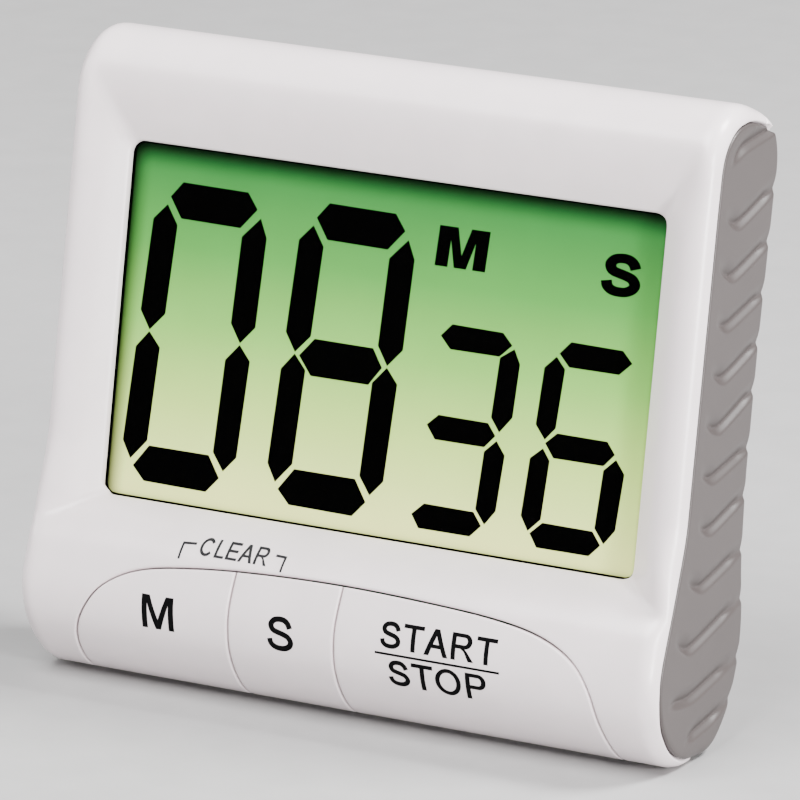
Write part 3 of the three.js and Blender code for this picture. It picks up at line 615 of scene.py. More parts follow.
def clipped(outline, a, b):
    """The part of an outline to the left of the line from a to b."""
    across = np.array([-(b[1] - a[1]), b[0] - a[0]])
    across /= np.linalg.norm(across)
    side = (outline - a) @ across
    result = []
    for p, q, f, g in zip(outline, np.roll(outline, -1, axis=0), side, np.roll(side, -1)):
        if f >= 0:
            result.append(p)
        if (f > 0) != (g > 0) and f != g:
            result.append(p + (q - p) * f / (f - g))
    return np.array(result)


def divider_ends(index):
    """Two points of a divider on the keys' face, as (s, t)."""
    top, end = PROFILE.front_t(np.array([DIVIDER_TOP, DIVIDER_FOOT]))
    return np.array([DIVIDERS[index], top]), np.array([divider_x(index, DIVIDER_FOOT), end])


def make_key(name, node, body, left, right):
    """One key of the row, between the dividers with these numbers."""
    outline = key_outline(-SEAM_HALF, KEY_END_Y)
    seam = np.array([SEAM_HALF, 0])
    if left is not None:
        top, end = divider_ends(left)
        outline = clipped(outline, end + seam, top + seam)
    if right is not None:
        top, end = divider_ends(right)
        outline = clipped(outline, top - seam, end - seam)
    flat, faces, way_in = fill([outline], FRONT_SPACING, rings=EDGE_ROWS, border_step=FRONT_STEP)
    outer, inner = walled(skin_form(*flat.T), way_in, SHELL_EDGE)
    piece_from(name, *thickened(outer, faces, inner), WHITE_KEY, body, [node], "key_white")


make_front_shell()
make_key("minutes_key_cap", "key_minutes", "minutes_key", None, 0)
make_key("seconds_key_cap", "key_seconds", "seconds_key", 0, 1)
make_key("start_stop_key_cap", "key_start_stop", "start_stop_key", 1, None)

# ---------------------------------------------------------------- lettering
def half_ellipse(cx, cy, rx, ry, start=90, end=-90, steps=14):
    angle = np.radians(np.linspace(start, end, steps))
    return [(cx + rx * math.cos(a), cy + ry * math.sin(a)) for a in angle]


def ribbon(points, width):
    """The outline of a stroke of even width along a smooth open line."""
    line = spline(points, 6)
    along = np.gradient(line, axis=0)
    along /= np.linalg.norm(along, axis=1, keepdims=True)
    across = np.column_stack([-along[:, 1], along[:, 0]]) * width / 2
    return np.vstack([line + across, (line - across)[::-1]])


def letter_m(w):
    width, lean = 0.954, 0.34
    left = [(0, 0), (0, 1), (w * 1.45, 1), (width / 2, 0.22 + w * 0.4)]
    right = [(width - x, y) for x, y in left[::-1][1:]]
    inner = [(width - w, 0), (width - w, 0.92 - w), (width / 2 + w * 0.47, 0), (width / 2 - w * 0.47, 0),
             (w, 0.92 - w), (w, 0)]
    return width, [left + right + inner]


def letter_s(w):
    line = [(0.96, 0.72), (0.87, 0.87), (0.70, 0.975), (0.46, 1), (0.22, 0.955), (0.09, 0.84),
            (0.08, 0.73), (0.18, 0.61), (0.40, 0.55), (0.64, 0.5), (0.88, 0.42), (1, 0.26), (0.93, 0.12),
            (0.74, 0.025), (0.50, 0), (0.24, 0.03), (0.06, 0.14), (0, 0.30)]
    width = 0.80
    inner = [(w / 2 + x * (width - w), w / 2 + y * (1 - w)) for x, y in line]
    return width, [ribbon(inner, w)]


def letter_t(w):
    width, bar = 0.793, w * 0.9
    a, b = (width - w) / 2, (width + w) / 2
    return width, [[(0, 1), (width, 1), (width, 1 - bar), (b, 1 - bar), (b, 0), (a, 0), (a, 1 - bar),
                    (0, 1 - bar)]]


def letter_a(w):
    width, foot, low, high = 0.936, w * 1.1, 0.29, 0.29 + w * 0.85
    run = width / 2 - w * 0.55
    apex = (width / 2 - foot) / run
    outer = [(0, 0), (run, 1), (width - run, 1), (width, 0), (width - foot, 0),
             (width - foot - low * run, low), (foot + low * run, low), (foot, 0)]
    return width, [outer, [(foot + high * run, high), (width - foot - high * run, high),
                           (width / 2, apex)]]


def letter_r(w):
    width, bar = 0.886, w * 0.86
    outer = [(0, 0), (0, 1), *half_ellipse(0.52, 0.72, 0.275, 0.28), (0.62, 0.35), (width, 0),
             (width - w * 1.25, 0), (0.50, 0.34), (0.36, 0.44), (w, 0.44), (w, 0)]
    hole = [(w, 0.44 + bar), (w, 1 - bar), *half_ellipse(0.51, 0.72, 0.275 - w, 0.28 - bar)]
    return width, [outer, hole]


def letter_p(w):
    width, bar = 0.763, w * 0.86
    outer = [(0, 0), (0, 1), *half_ellipse(0.48, 0.70, 0.283, 0.30), (w, 0.40), (w, 0)]
    hole = [(w, 0.40 + bar), (w, 1 - bar), *half_ellipse(0.475, 0.70, 0.283 - w, 0.30 - bar)]
    return width, [outer, hole]


def letter_o(w):
    width, rise = 0.956, 0.512
    return width, [half_ellipse(width / 2, 0.5, width / 2, rise, 0, 350, 36),
                   half_ellipse(width / 2, 0.5, width / 2 - w, rise - w * 0.88, 0, 350, 36)]


def letter_c(w):
    width, rise = 0.891, 0.512
    arc = half_ellipse(width / 2, 0.5, (width - w) / 2, rise - w / 2, 36, 324, 12)
    return width, [ribbon(arc, w)]


def letter_l(w):
    width = 0.62
    return width, [[(0, 0), (0, 1), (w, 1), (w, w * 0.9), (width, w * 0.9), (width, 0)]]


def letter_e(w):
    width, bar, mid = 0.747, w * 0.9, 0.51
    return width, [[(0, 0), (0, 1), (width, 1), (width, 1 - bar), (w, 1 - bar), (w, mid + bar / 2),
                    (width * 0.94, mid + bar / 2), (width * 0.94, mid - bar / 2), (w, mid - bar / 2),
                    (w, bar), (width, bar), (width, 0)]]


LETTERS = {"M": letter_m, "S": letter_s, "T": letter_t, "A": letter_a, "R": letter_r, "P": letter_p,
           "O": letter_o, "C": letter_c, "L": letter_l, "E": letter_e}
PAIR_GAPS = {"ST": 0.09, "TA": 0.03, "AR": 0.12, "RT": 0.08, "TO": 0.08, "OP": 0.18, "CL": 0.17,
             "LE": 0.14, "EA": 0.08}


def word_outlines(word, box, weight):
    """The outlines of a word's letters as (x, z), fitted into a box of x0, x1, z0, z1."""
    x0, x1, z0, z1 = box
    letters, at = [], 0.0
    for i, char in enumerate(word):
        if i:
            at += PAIR_GAPS[word[i - 1:i + 1]]
        width, outlines = LETTERS[char](weight)
        letters.append([np.array(line, float) + (at, 0) for line in outlines])
        at += width
    fit = np.array([(x1 - x0) / at, z1 - z0])
    return [[line * fit + (x0, z0) for line in outlines] for outlines in letters]


def slanted(letters, lean, z_pivot):
    """Letters leaning: x grows by lean with each mm above the pivot."""
    def leant(line):
        return line + np.column_stack([lean * (line[:, 1] - z_pivot), 0 * line[:, 1]])
    return [[leant(line) for line in outlines] for outlines in letters]


INK_RISE, INK_SINK = 0.02, 0.03
INK_SPACING, INK_STEP = 0.5, 0.15


def printed(name, letters, place, ink, body):
    """Letters printed on a surface: place gives a point from (s, t) and a depth."""
    parts = []
    for outlines in letters:
        edges = [front_outline(line) for line in outlines]
        flat, faces, _ = fill(edges, INK_SPACING, border_step=INK_STEP)
        parts.append(thickened(place(*flat.T, -INK_RISE), faces, place(*flat.T, INK_SINK)))
    piece_from(name, *joined(parts), ink, body, sharp=FLAT_SHARP)


def shell_place(s, t, depth):
    point, out = front_form(s, t)
    return point - out * depth


LETTER_WEIGHT, LABEL_WEIGHT, CLEAR_WEIGHT = 0.16, 0.17, 0.165
MINUTES_BOX, SECONDS_BOX = (-22.7, -18.8, -32.02, -28.32), (-7.3, -4.12, -32.05, -28.25)
START_BOX, STOP_BOX = (6.35, 20.15, -29.65, -26.75), (7.2, 18.9, -33.68, -30.83)
BAR_BOX = (5.75, 20.55, -30.42, -30.17)
CLEAR_BOX = (-17.0, -8.65, -23.4, -21.6)
BRACKETS = [[(-19.1, -24.1), (-19.1, -22.45), (-17.6, -22.35)],
            [(-7.95, -22.2), (-6.75, -22.25), (-6.75, -23.75)]]
BRACKET_WIDTH = 0.24


def bracket(points):
    """The outline of a thin right-angled line through three points."""
    a, b, c = np.array(points, float)
    first, second = (b - a) / np.linalg.norm(b - a), (c - b) / np.linalg.norm(c - b)
    side = BRACKET_WIDTH / 2
    n1, n2 = np.array([-first[1], first[0]]) * side, np.array([-second[1], second[0]]) * side
    return [a + n1, b + n1 + n2, c + n2, c - n2, b - n1 - n2, a - n1]


def bar(x0, x1, z0, z1):
    return [[np.array([(x0, z0), (x1, z0), (x1, z1), (x0, z1)])]]


def make_labels():
    minutes = word_outlines("M", MINUTES_BOX, LETTER_WEIGHT)
    seconds = word_outlines("S", SECONDS_BOX, LETTER_WEIGHT)
    start = word_outlines("START", START_BOX, LABEL_WEIGHT)
    stop = word_outlines("STOP", STOP_BOX, LABEL_WEIGHT)
    clear = word_outlines("CLEAR", CLEAR_BOX, CLEAR_WEIGHT)
    clear += [[np.array(bracket(points))] for points in BRACKETS]
    printed("label_minutes", minutes, skin_place, INK, "minutes_key")
    printed("label_seconds", seconds, skin_place, INK, "seconds_key")
    printed("label_start_stop", start + bar(*BAR_BOX) + stop, skin_place, INK, "start_stop_key")
    printed("label_clear", clear, shell_place, GREY_INK, "case")


make_labels()

# ---------------------------------------------------------------- display
LCD_FACE, LCD_BACK = 1.1, 1.6
LCD_HALF, LCD_CORNER = (33.2, 21.4), 0.4
# The film's green with a painted sheen: deep green at the top, pale at the foot.
LCD_GREEN_AND_SHEEN = [(0.0, linear(246, 255, 158)), (0.28, linear(192, 228, 116)), (0.5, linear(132, 197, 88)),
             (0.72, linear(82, 158, 68)), (1.0, linear(36, 114, 52))]
# How much the edge of the painted sheen wavers, and over what size.
LCD_SHEEN_WAVE_MM, LCD_SHEEN_WAVE_HEIGHT = 14.0, 1.2
# Painted shadow: where the film goes from dark to its full tone inside each of the window's edges.
PAINTED_EDGE_SHADE = {"left": (-32.8, -29.8), "right": (32.6, 31.2), "top": (19.5, 16.0), "foot": (-20.2, -18.6)}
# Painted glow: the film gives off light in its own colours though it is no lamp.
PAINTED_GLOW = 0.35
MARK_RISE, MARK_SINK = 0.03, 0.02
SLANT = 0.058
UNIT_LETTERS = [("M", (5.2, 11.2, 10.4, 14.7), 0.24, 12.5), ("S", (24.7, 29.3, 9.9, 14.45), 0.22, 12.2)]
BIG_PITCH, SMALL_BASE = 17.95, 14.1
BIG = {
    "a": [(-27.4, 13.6), (-26, 15.3), (-18, 15.2), (-16.7, 13.5), (-18.6, 11.3), (-25.9, 11.4)],
    "f": [(-27.7, 12.7), (-29.3, 11), (-29.9, 1.0), (-28.6, -1.0), (-26.85, 0.9), (-26.3, 10.6)],
    "b": [(-16.2, 12.6), (-15.3, 10.6), (-15.7, 0.9), (-17.4, -1.0), (-18.7, 1.0), (-18.3, 10.4)],
    "e": [(-28.6, -1.2), (-30.1, -3), (-30.7, -13.3), (-29.6, -15.2), (-27.7, -13), (-27.15, -2.8)],
    "c": [(-17.4, -1.2), (-16, -2.8), (-16.6, -13.3), (-18.1, -15), (-19.5, -13.1), (-19, -3)],
    "d": [(-29.2, -15.9), (-27.4, -13.5), (-20, -13.5), (-18.5, -15.8), (-20, -17.5), (-27.7, -17.4)],
    "g": [(-28.05, -1.3), (-26.35, 0.7), (-19.25, 0.65), (-18, -1.3), (-19.45, -3.3), (-26.45, -3.3)],
}
SMALL = {
    "a": [(6.6, 3.1), (7.85, 4.45), (13.9, 4.35), (15.1, 3.15), (13.7, 1.8), (7.85, 1.8)],
    "b": [(15.4, 2.8), (16.2, 1.3), (15.9, -4.4), (14.5, -6.15), (13.4, -4.7), (13.8, 1.7)],
    "f": [(6.3, 2.7), (5, 1.4), (4.6, -4.7), (5.8, -6.15), (6.95, -4.8), (7.4, 1.5)],
    "g": [(5.9, -6.5), (7.2, -5.3), (13.1, -5.35), (14.1, -6.6), (12.9, -7.95), (7, -7.95)],
    "e": [(5.7, -7.1), (4.3, -8.3), (3.85, -14.5), (4.8, -16), (6.2, -14.6), (6.6, -8.3)],
    "c": [(14.3, -7.1), (15.4, -8.5), (14.95, -14.5), (13.75, -16.1), (12.55, -14.6), (12.95, -8.4)],
    "d": [(5.05, -16.2), (6.45, -14.9), (12.35, -14.95), (13.4, -16.3), (12.15, -17.6), (6, -17.6)],
}
LIT = [(BIG, "abcdef", 0), (BIG, "abcdefg", BIG_PITCH), (SMALL, "abcdg", 0), (SMALL, "acdefg", SMALL_BASE)]


def case_axis(tree, mm, axis):
    """A coordinate of the case in millimetres, from world ones."""
    node = tree.nodes.new("ShaderNodeVectorMath")
    node.operation = "DOT_PRODUCT"
    node.inputs[1].default_value = tuple(axis)
    tree.links.new(mm, node.inputs[0])
    return math_node(tree, "SUBTRACT", node.outputs["Value"], float(np.dot(ORIGIN / MM, axis)))


def math_node(tree, operation, *values):
    node = tree.nodes.new("ShaderNodeMath")
    node.operation = operation
    for socket, value in zip(node.inputs, values):
        if isinstance(value, (int, float)):
            socket.default_value = value
        else:
            tree.links.new(value, socket)
    return node.outputs[0]


def stretched(tree, value, low, high, smooth=True):
    """0 at low and 1 at high."""
    node = tree.nodes.new("ShaderNodeMapRange")
    node.interpolation_type = "SMOOTHSTEP" if smooth else "LINEAR"
    node.inputs["From Min"].default_value = low
    node.inputs["From Max"].default_value = high
    tree.links.new(value, node.inputs["Value"])
    return node.outputs[0]


def multiplied(tree, colour, factor):
    node = tree.nodes.new("ShaderNodeVectorMath")
    node.operation = "SCALE"
    tree.links.new(colour, node.inputs[0])
    tree.links.new(factor, node.inputs["Scale"])
    return node.outputs[0]


def build_lcd_green(tree, shader, mm):
    """The display's film: green with a painted sheen, deep at the top and pale at the foot, painted shadow
    along its edges and a painted glow.
    """
    x, z = case_axis(tree, mm, RIGHT), case_axis(tree, mm, UPWARD)
    # Painted sheen: the green runs from deep at the top to pale at the foot, wavering a little.
    ripple = math_node(tree, "SUBTRACT", noise(tree, mm, LCD_SHEEN_WAVE_MM, 1.0), 0.5)
    wave = math_node(tree, "MULTIPLY", ripple, LCD_SHEEN_WAVE_HEIGHT)
    height = stretched(tree, math_node(tree, "ADD", z, wave), -WINDOW_HALF[1], WINDOW_HALF[1], smooth=False)
    hue = ramp(tree, height, LCD_GREEN_AND_SHEEN)
    # Painted shadow: the film darkens inside the window's edges, where the shell's lip shades it.
    left, right = (stretched(tree, x, *PAINTED_EDGE_SHADE[edge]) for edge in ("left", "right"))
    top, foot = (stretched(tree, z, *PAINTED_EDGE_SHADE[edge]) for edge in ("top", "foot"))
    sides = math_node(tree, "MULTIPLY", left, right)
    ends = math_node(tree, "MULTIPLY", top, foot)
    tone = multiplied(tree, hue, math_node(tree, "MULTIPLY", sides, ends))
    tree.links.new(tone, shader.inputs["Base Color"])
    # Painted glow: the film's colour, painted shadow included, is also given off as light.
    tree.links.new(tone, shader.inputs["Emission Color"])
    shader.inputs["Emission Strength"].default_value = PAINTED_GLOW
    shader.inputs["Roughness"].default_value = 0.55
    shader.inputs["Specular IOR Level"].default_value = 0.1


def lcd_mark(outlines, border_step):
    return prism(outlines, LCD_FACE - MARK_RISE, LCD_FACE + MARK_SINK, 2.0, border_step)


def make_display():
    green = material("lcd_green", build_lcd_green)
    panel = prism([rounded_box(*LCD_HALF, LCD_CORNER)], LCD_FACE, LCD_BACK, 4.0, 0.8)
    piece_from("lcd_panel", *panel, green, "case", ["lcd_front_glass"], "lcd_glass", sharp=FLAT_SHARP)
    marks = []
    for shapes, lit, shift in LIT:
        marks += [lcd_mark([np.array(shapes[key], float) + (shift, 0)], 0.8) for key in lit]
    for letter, box, weight, z_pivot in UNIT_LETTERS:
        letters = slanted(word_outlines(letter, box, weight), SLANT, z_pivot)
        marks += [lcd_mark(outlines, 0.2) for outlines in letters]
    piece_from("lcd_marks", *joined(marks), SEGMENT_BLACK, "case", sharp=FLAT_SHARP)


LENS_FRONT, LENS_BACK = 0.48, 0.85
LENS_HALF, LENS_CORNER = (33.4, 20.8), 0.8
# A thin black border behind the lens: a printed border whose edges are set so that it also stands in as
# painted shadow just inside the window's edges.
BORDER_SHADE_LEFT, BORDER_SHADE_RIGHT, BORDER_SHADE_TOP, BORDER_SHADE_FOOT = -32.0, 31.85, 19.0, -19.15
BORDER_SHADE_CORNER, BORDER_SHADE_GAP, BORDER_SHADE_THICK = 1.0, 0.01, 0.05
LENS_GLOSS = 0.045


def build_lens(tree, shader, mm):
    """Clear plastic with a weak sheen."""
    clear = tree.nodes.new("ShaderNodeBsdfTransparent")
    haze = ramp(tree, noise(tree, mm, 9.0), [(0.3, (0.985, 0.985, 0.985)), (0.7, (1, 1, 1))])
    tree.links.new(haze, clear.inputs["Color"])
    mix = tree.nodes.new("ShaderNodeMixShader")
    mix.inputs["Fac"].default_value = LENS_GLOSS
    tree.links.new(clear.outputs[0], mix.inputs[1])
    shader.inputs["Base Color"].default_value = (0.0, 0.0, 0.0, 1)
    shader.inputs["Roughness"].default_value = 0.12
    tree.links.new(shader.outputs[0], mix.inputs[2])
    tree.links.new(mix.outputs[0], tree.nodes["Material Output"].inputs["Surface"])


def make_lens():
    edge = rounded_box(*LENS_HALF, LENS_CORNER)
    lens = prism([edge], LENS_FRONT, LENS_BACK, 6.0, 1.5)
    piece_from("display_window", *lens, material("clear_window", build_lens), "case", ["display_lens"],
               "clear_window", sharp=FLAT_SHARP)
    # Black border behind the lens, partly print and partly painted shadow along the window's edges.
    middle = ((BORDER_SHADE_LEFT + BORDER_SHADE_RIGHT) / 2, (BORDER_SHADE_TOP + BORDER_SHADE_FOOT) / 2)
    half = ((BORDER_SHADE_RIGHT - BORDER_SHADE_LEFT) / 2, (BORDER_SHADE_TOP - BORDER_SHADE_FOOT) / 2)
    opening = rounded_box(*half, BORDER_SHADE_CORNER) + middle
    front = LENS_BACK + BORDER_SHADE_GAP
    border_and_shade = prism([edge, opening], front, front + BORDER_SHADE_THICK, 3.0, 0.6)
    piece_from("window_border_and_shade", *border_and_shade, SEGMENT_BLACK, "case", sharp=FLAT_SHARP)


make_display()
make_lens()

# ---------------------------------------------------------------- grips
GROOVES = [[(1.3, 25.7), (4.1, 27.1), (9, 28.3)], [(1.3, 19.5), (4.1, 18.6), (11.6, 22.1)],
           [(0.8, 14.3), (3.9, 13.1), (11.4, 16.5)], [(1.5, 8.6), (3.6, 7.9), (11.2, 11)],
           [(1.3, 3.3), (4.1, 2.4), (10.9, 5.6)], [(1, -2), (4.1, -2.9), (11.2, 0.6)],
           [(1.2, -7.3), (3.6, -8.1), (10.8, -5.5)], [(1.9, -12.9), (4.3, -13.6), (11.7, -10.4)],
           [(0.5, -18.6), (3.6, -19.6), (11.7, -16.4)], [(-1, -24.8), (2.1, -26.1), (13.1, -21.6)],
           [(-1.2, -31.4), (3.6, -31.2), (12.7, -28.1)], [(3.6, -35.5), (9.6, -33.8), (12.4, -32.4)]]
GROOVE_DEPTH, GROOVE_BEND = 0.68, 0.9
CREST_MM, TUCK_MM, TUCK_POWER = 0.8, 1.8, 1.8
GROOVE_START = (-0.9, 2.4)
GRIP_SPACING, GRIP_STEP, GRIP_ROWS = 0.19, 0.22, (0.05, 0.12, 0.2, 0.3, 0.45)
GRIP_EDGE, GRIP_THICK, GRIP_SHARP = 0.3, 1.5, 60
MARGIN, MARGIN_UNTIL_Y = (0.1, 1.1), 6
BACK_FADE, BACK_FADE_Y = 0.7, (9.5, 12.5)


def groove_height(groove, y):
    """z of a groove's line over y: a hook at the front, then straight on to the back."""
    (y0, z0), (y1, z1), (y2, z2) = groove
    slope_in, slope_out = (z1 - z0) / (y1 - y0), (z2 - z1) / (y2 - y1)
    u = y - y1
    soft = np.sqrt(u * u + GROOVE_BEND * GROOVE_BEND)
    return z1 + slope_in * (u - soft) / 2 + slope_out * (u + soft) / 2


def groove_relief(y, z):
    """How far the grip's ribs fall back here: each groove's floor rises to a crest below it."""
    fall = np.zeros(len(y))
    for groove in GROOVES:
        above = z - groove_height(groove, y)
        steep = 1 - smooth_step(-above, 0, CREST_MM)
        gentle = np.clip(1 - above / TUCK_MM, 0, 1) ** TUCK_POWER
        shape = np.where(above < 0, steep, gentle)
        start = smooth_step(y, groove[0][0] + GROOVE_START[0], groove[0][0] + GROOVE_START[1])
        fall = np.maximum(fall, shape * start)
    return GROOVE_DEPTH * fall


class GripForm:
    """The side face and the round towards the shell, by (y, z) rolled out flat."""

    def __init__(self):
        t = np.arange(0, PROFILE.length, 0.08)
        self.radius = edge_radius(t)
        self.normal = PROFILE.normal(t)
        self.centre = PROFILE.point(t) - self.normal * self.radius[:, None]
        ends = rim_ends(np.where(t > PROFILE.foot + 60, t - PROFILE.length, t))
        self.reach = self.radius * math.pi / 2 + EDGE_ROUND - self.radius - (ends - FLAT_HALF)

    def outline(self, gap):
        return self.centre + self.normal * (self.reach - gap)[:, None]

    def place(self, side, flat, depth):
        _, which = nearest(flat, self.centre)
        normal, centre, radius = self.normal[which], self.centre[which], self.radius[which]
        along = np.sum((flat - centre) * normal, axis=1)
        angle = np.clip(along / radius, 0, math.pi / 2)
        level = np.maximum(along - radius * math.pi / 2, 0)
        x = HALF_WIDTH - radius * (1 - np.cos(angle)) - level
        rolled = centre + normal * (radius * np.sin(angle))[:, None]
        yz = np.where((along > 0)[:, None], rolled, flat)
        out = np.column_stack([np.cos(angle), normal * np.sin(angle)[:, None]])
        point = np.column_stack([x, yz]) - out * np.reshape(depth, (-1, 1))
        point[:, 0] *= side
        return point


def make_grip(name, node, side):
    """A ribbed side grip. The ribs fade at its front edge and get lower towards the back."""
    form = GripForm()
    outline = form.outline(SEAM_HALF)
    flat, faces, way_in = fill([outline], GRIP_SPACING, rings=GRIP_ROWS, border_step=GRIP_STEP)
    y, z = flat.T
    fade = np.where(y > MARGIN_UNTIL_Y, 1, smooth_step(way_in, *MARGIN))
    at_back = 1 - BACK_FADE * smooth_step(y, *BACK_FADE_Y)
    depth = edge_drop(way_in, GRIP_EDGE) + groove_relief(y, z) * fade * at_back
    grip = thickened(form.place(side, flat, depth), faces, form.place(side, flat, GRIP_THICK))
    piece_from(name, *grip, GRIP_RUBBER, "case", [node], "grip_grey", sharp=GRIP_SHARP)


make_grip("grip_right_skin", "grip_right", 1)
make_grip("grip_left_skin", "grip_left", -1)

# ---------------------------------------------------------------- rear shell
POD_HALF, POD_Z, POD_CORNER, POD_BACK = (33, 8.8), 13.0, 4.0, 18.9
POD_BASE, DOOR_SEAT, RAIL_BACK = 11.5, 17.1, 18.3
BOX_HALF, BOX_WALL, BOX_FLOOR = (25, 6.1), 1.6, 6.2
DOOR_HALF_WIDTH, DOOR_FOOT, DOOR_TOP, DOOR_FRONT = 24.2, 6.2, 21.5, 17.4
TONGUE, TONGUE_BACK, FIT = 1.1, 18.0, 0.3
MAGNET_X, MAGNET_RADIUS, MAGNET_THICK = 29.3, 3.5, 2.2
RECESS = [(8.9, -10.9), (8.9, -15.4), (10.2, -17.8), (11, -22), (11.2, -28), (10.6, -33.5), (10.2, -38)]
RECESS_HALF, RECESS_WALL, RECESS_END = 15.3, 1.0, (10.25, -36.6)
RECESS_TOP = [(7.9, -10.9), (12.2, -10.9), (12.2, -10.0), (7.9, -10.0)]
BELOW_SKIN = 0.03
SCREWS = [(-30.5, 25.4), (30.5, 25.4), (-30.6, -25), (30.6, -25)]
SCREW_HOLE, SCREW_SEAT, SCREW_BORE = 2.3, 10.4, 1.3
CUP_WALL, CUP_SINK, SEAT_FRONT, SEAT_BACK = 0.7, 0.1, 0.6, 0.1
SOUND_MIDDLE, SOUND_RING, SOUND_HOLE, SOUND_OUTER = (0, -26), 3.6, 0.8, 5
PAD_ROWS = (0.13, 0.32, 0.6, 1.0)
REAR_ROWS, REAR_SPACING, REAR_STEP, REAR_EDGE = (0.06, 0.14, 0.2, 0.45), 0.9, 0.4, 0.2
POD_EDGE, POD_ROWS = 0.6, (0.08, 0.2, 0.38, 0.6)
BOX_CORNER, BOX_GAP, BOX_GAP_CORNER, MAGNET_GAP = 0.4, 0.3, 0.5, 0.1
TRAY_CORNER, TRAY_FLOOR = 0.6, 0.8


def circle(x, z, radius, steps=40):
    angle = np.linspace(0, 2 * math.pi, steps, endpoint=False)
    return np.column_stack([x + radius * np.cos(angle), z + radius * np.sin(angle)])


def distance_to(points, line):
    return nearest(points, resample(line, EDGE_SAMPLE))[0]


def pad(edges, y_out, y_in, radius, spacing=1.2, soft=(0,), dense_areas=(), relief=None):
    """A plate whose face looks backwards, rounded along the edges numbered in soft."""
    rows = tuple(radius * f for f in PAD_ROWS)
    flat, faces, _ = fill(edges, spacing, rings=rows, border_step=0.4, dense_areas=dense_areas)
    drop = np.zeros(len(flat))
    for number in soft:
        drop = np.maximum(drop, edge_drop(distance_to(flat, edges[number]), radius))
    if relief is not None:
        drop = drop + relief(flat[:, 0], flat[:, 1])
    return thickened(at_depth(flat, y_out - drop), faces, at_depth(flat, y_in))


def bar_x(outline, x0, x1, spacing=1.5, border_step=0.5):
    """A bar along x whose cross-section is given as (y, z)."""
    flat, faces, _ = fill([np.array(outline, float)], spacing, border_step=border_step)
    outer = np.column_stack([np.full(len(flat), x1), flat])
    inner = np.column_stack([np.full(len(flat), x0), flat])
    return thickened(outer, faces, inner)


def back_t(z):
    """t on the back for heights z."""
    t = np.linspace(FOOT_PARTING, PROFILE.top, FINE)
    return np.interp(np.asarray(z, float), PROFILE.point(t)[:, 1], t)


def back_outline(points):
    p = np.asarray(points, float)
    return np.column_stack([p[:, 0], back_t(p[:, 1])])


def recess_opening():
    """The stand's recess on the back as (s, t), open to the foot."""
    low = PROFILE.crossing(0, RECESS[-1][0] + 0.05, FOOT_PARTING, FOOT_PARTING + 6)
    high = float(back_t(RECESS[0][1]))
    return np.array([(-RECESS_HALF, low), (RECESS_HALF, low), (RECESS_HALF, high), (-RECESS_HALF, high)])


def recess_liner():
    """Floor, sides and top of the stand's recess."""
    floor_line = np.vstack([RECESS[:1], spline(RECESS[1:-1], 8), [RECESS_END]])
    length = np.concatenate([[0], np.cumsum(np.linalg.norm(np.diff(floor_line, axis=0), axis=1))])
    end = length[-1]
    outline = np.array([(-RECESS_HALF, 0), (RECESS_HALF, 0), (RECESS_HALF, end), (-RECESS_HALF, end)])
    around = [i * 2 * math.pi / SOUND_OUTER for i in range(SOUND_OUTER)]
    places = [(0, 0)] + [(SOUND_RING * math.sin(a), SOUND_RING * math.cos(a)) for a in around]
    holes = []
    for x, z in places:
        along = float(np.interp(-(SOUND_MIDDLE[1] + z), -floor_line[:, 1], length))
        holes.append(circle(SOUND_MIDDLE[0] + x, along, SOUND_HOLE, 20))
    flat, faces, _ = fill([outline, *holes], REAR_SPACING, border_step=REAR_STEP)
    y = np.interp(flat[:, 1], length, floor_line[:, 0])
    z = np.interp(flat[:, 1], length, floor_line[:, 1])
    outer = np.column_stack([flat[:, 0], y, z])
    (_, low), _, (_, high), _ = recess_opening()
    skin = PROFILE.point(np.linspace(low + 0.1, high + 0.5, 60))
    side = np.vstack([floor_line - (RECESS_WALL, 0), skin[np.argsort(skin[:, 1])] - (BELOW_SKIN, 0)])
    outside = RECESS_HALF + RECESS_WALL
    return [thickened(outer, faces, outer - (0, RECESS_WALL, 0)), bar_x(side, -outside, -RECESS_HALF),
            bar_x(side, RECESS_HALF, outside), bar_x(RECESS_TOP, -outside, outside)]


def screw_cup(x, z):
    """The counterbore that a case screw sits in."""
    radius = SCREW_HOLE + CUP_WALL
    skin = PROFILE.point(back_t(np.array([z - radius, z, z + radius])))[:, 0].min()
    front = SCREW_SEAT - SEAT_FRONT
    ring = prism([circle(x, z, radius), circle(x, z, SCREW_HOLE)], skin - CUP_SINK, front)
    seat = prism([circle(x, z, SCREW_HOLE + 0.1), circle(x, z, SCREW_BORE, 24)], SCREW_SEAT - SEAT_BACK,
                 front)
    return [ring, seat]


def pod_outline():
    return rounded_box(*POD_HALF, POD_CORNER, 14) + (0, POD_Z)


def box_outline(gap, corner):
    """The battery compartment's outline, this much wider all round."""
    return rounded_box(BOX_HALF[0] + gap, BOX_HALF[1] + gap, corner, 3) + (0, POD_Z)


def magnet_outlines(gap):
    return [circle(side * MAGNET_X, POD_Z, MAGNET_RADIUS + gap) for side in (-1, 1)]


def pod_layer(half_width, foot):
    """The pod's outline with the door's channel of this half width cut in from above."""
    line = pod_outline()
    line = line[np.argsort(np.mod(np.arctan2(line[:, 0], -(line[:, 1] - POD_Z)) + math.pi, 2 * math.pi))]
    top = POD_Z + POD_HALF[1]
    keep = ~((np.abs(line[:, 0]) < half_width) & (line[:, 1] > top - 0.01))
    channel = [(half_width, top), (half_width, foot), (-half_width, foot), (-half_width, top)]
    return np.vstack([line[keep], channel[::-1] if line[keep][-1, 0] < 0 else channel])


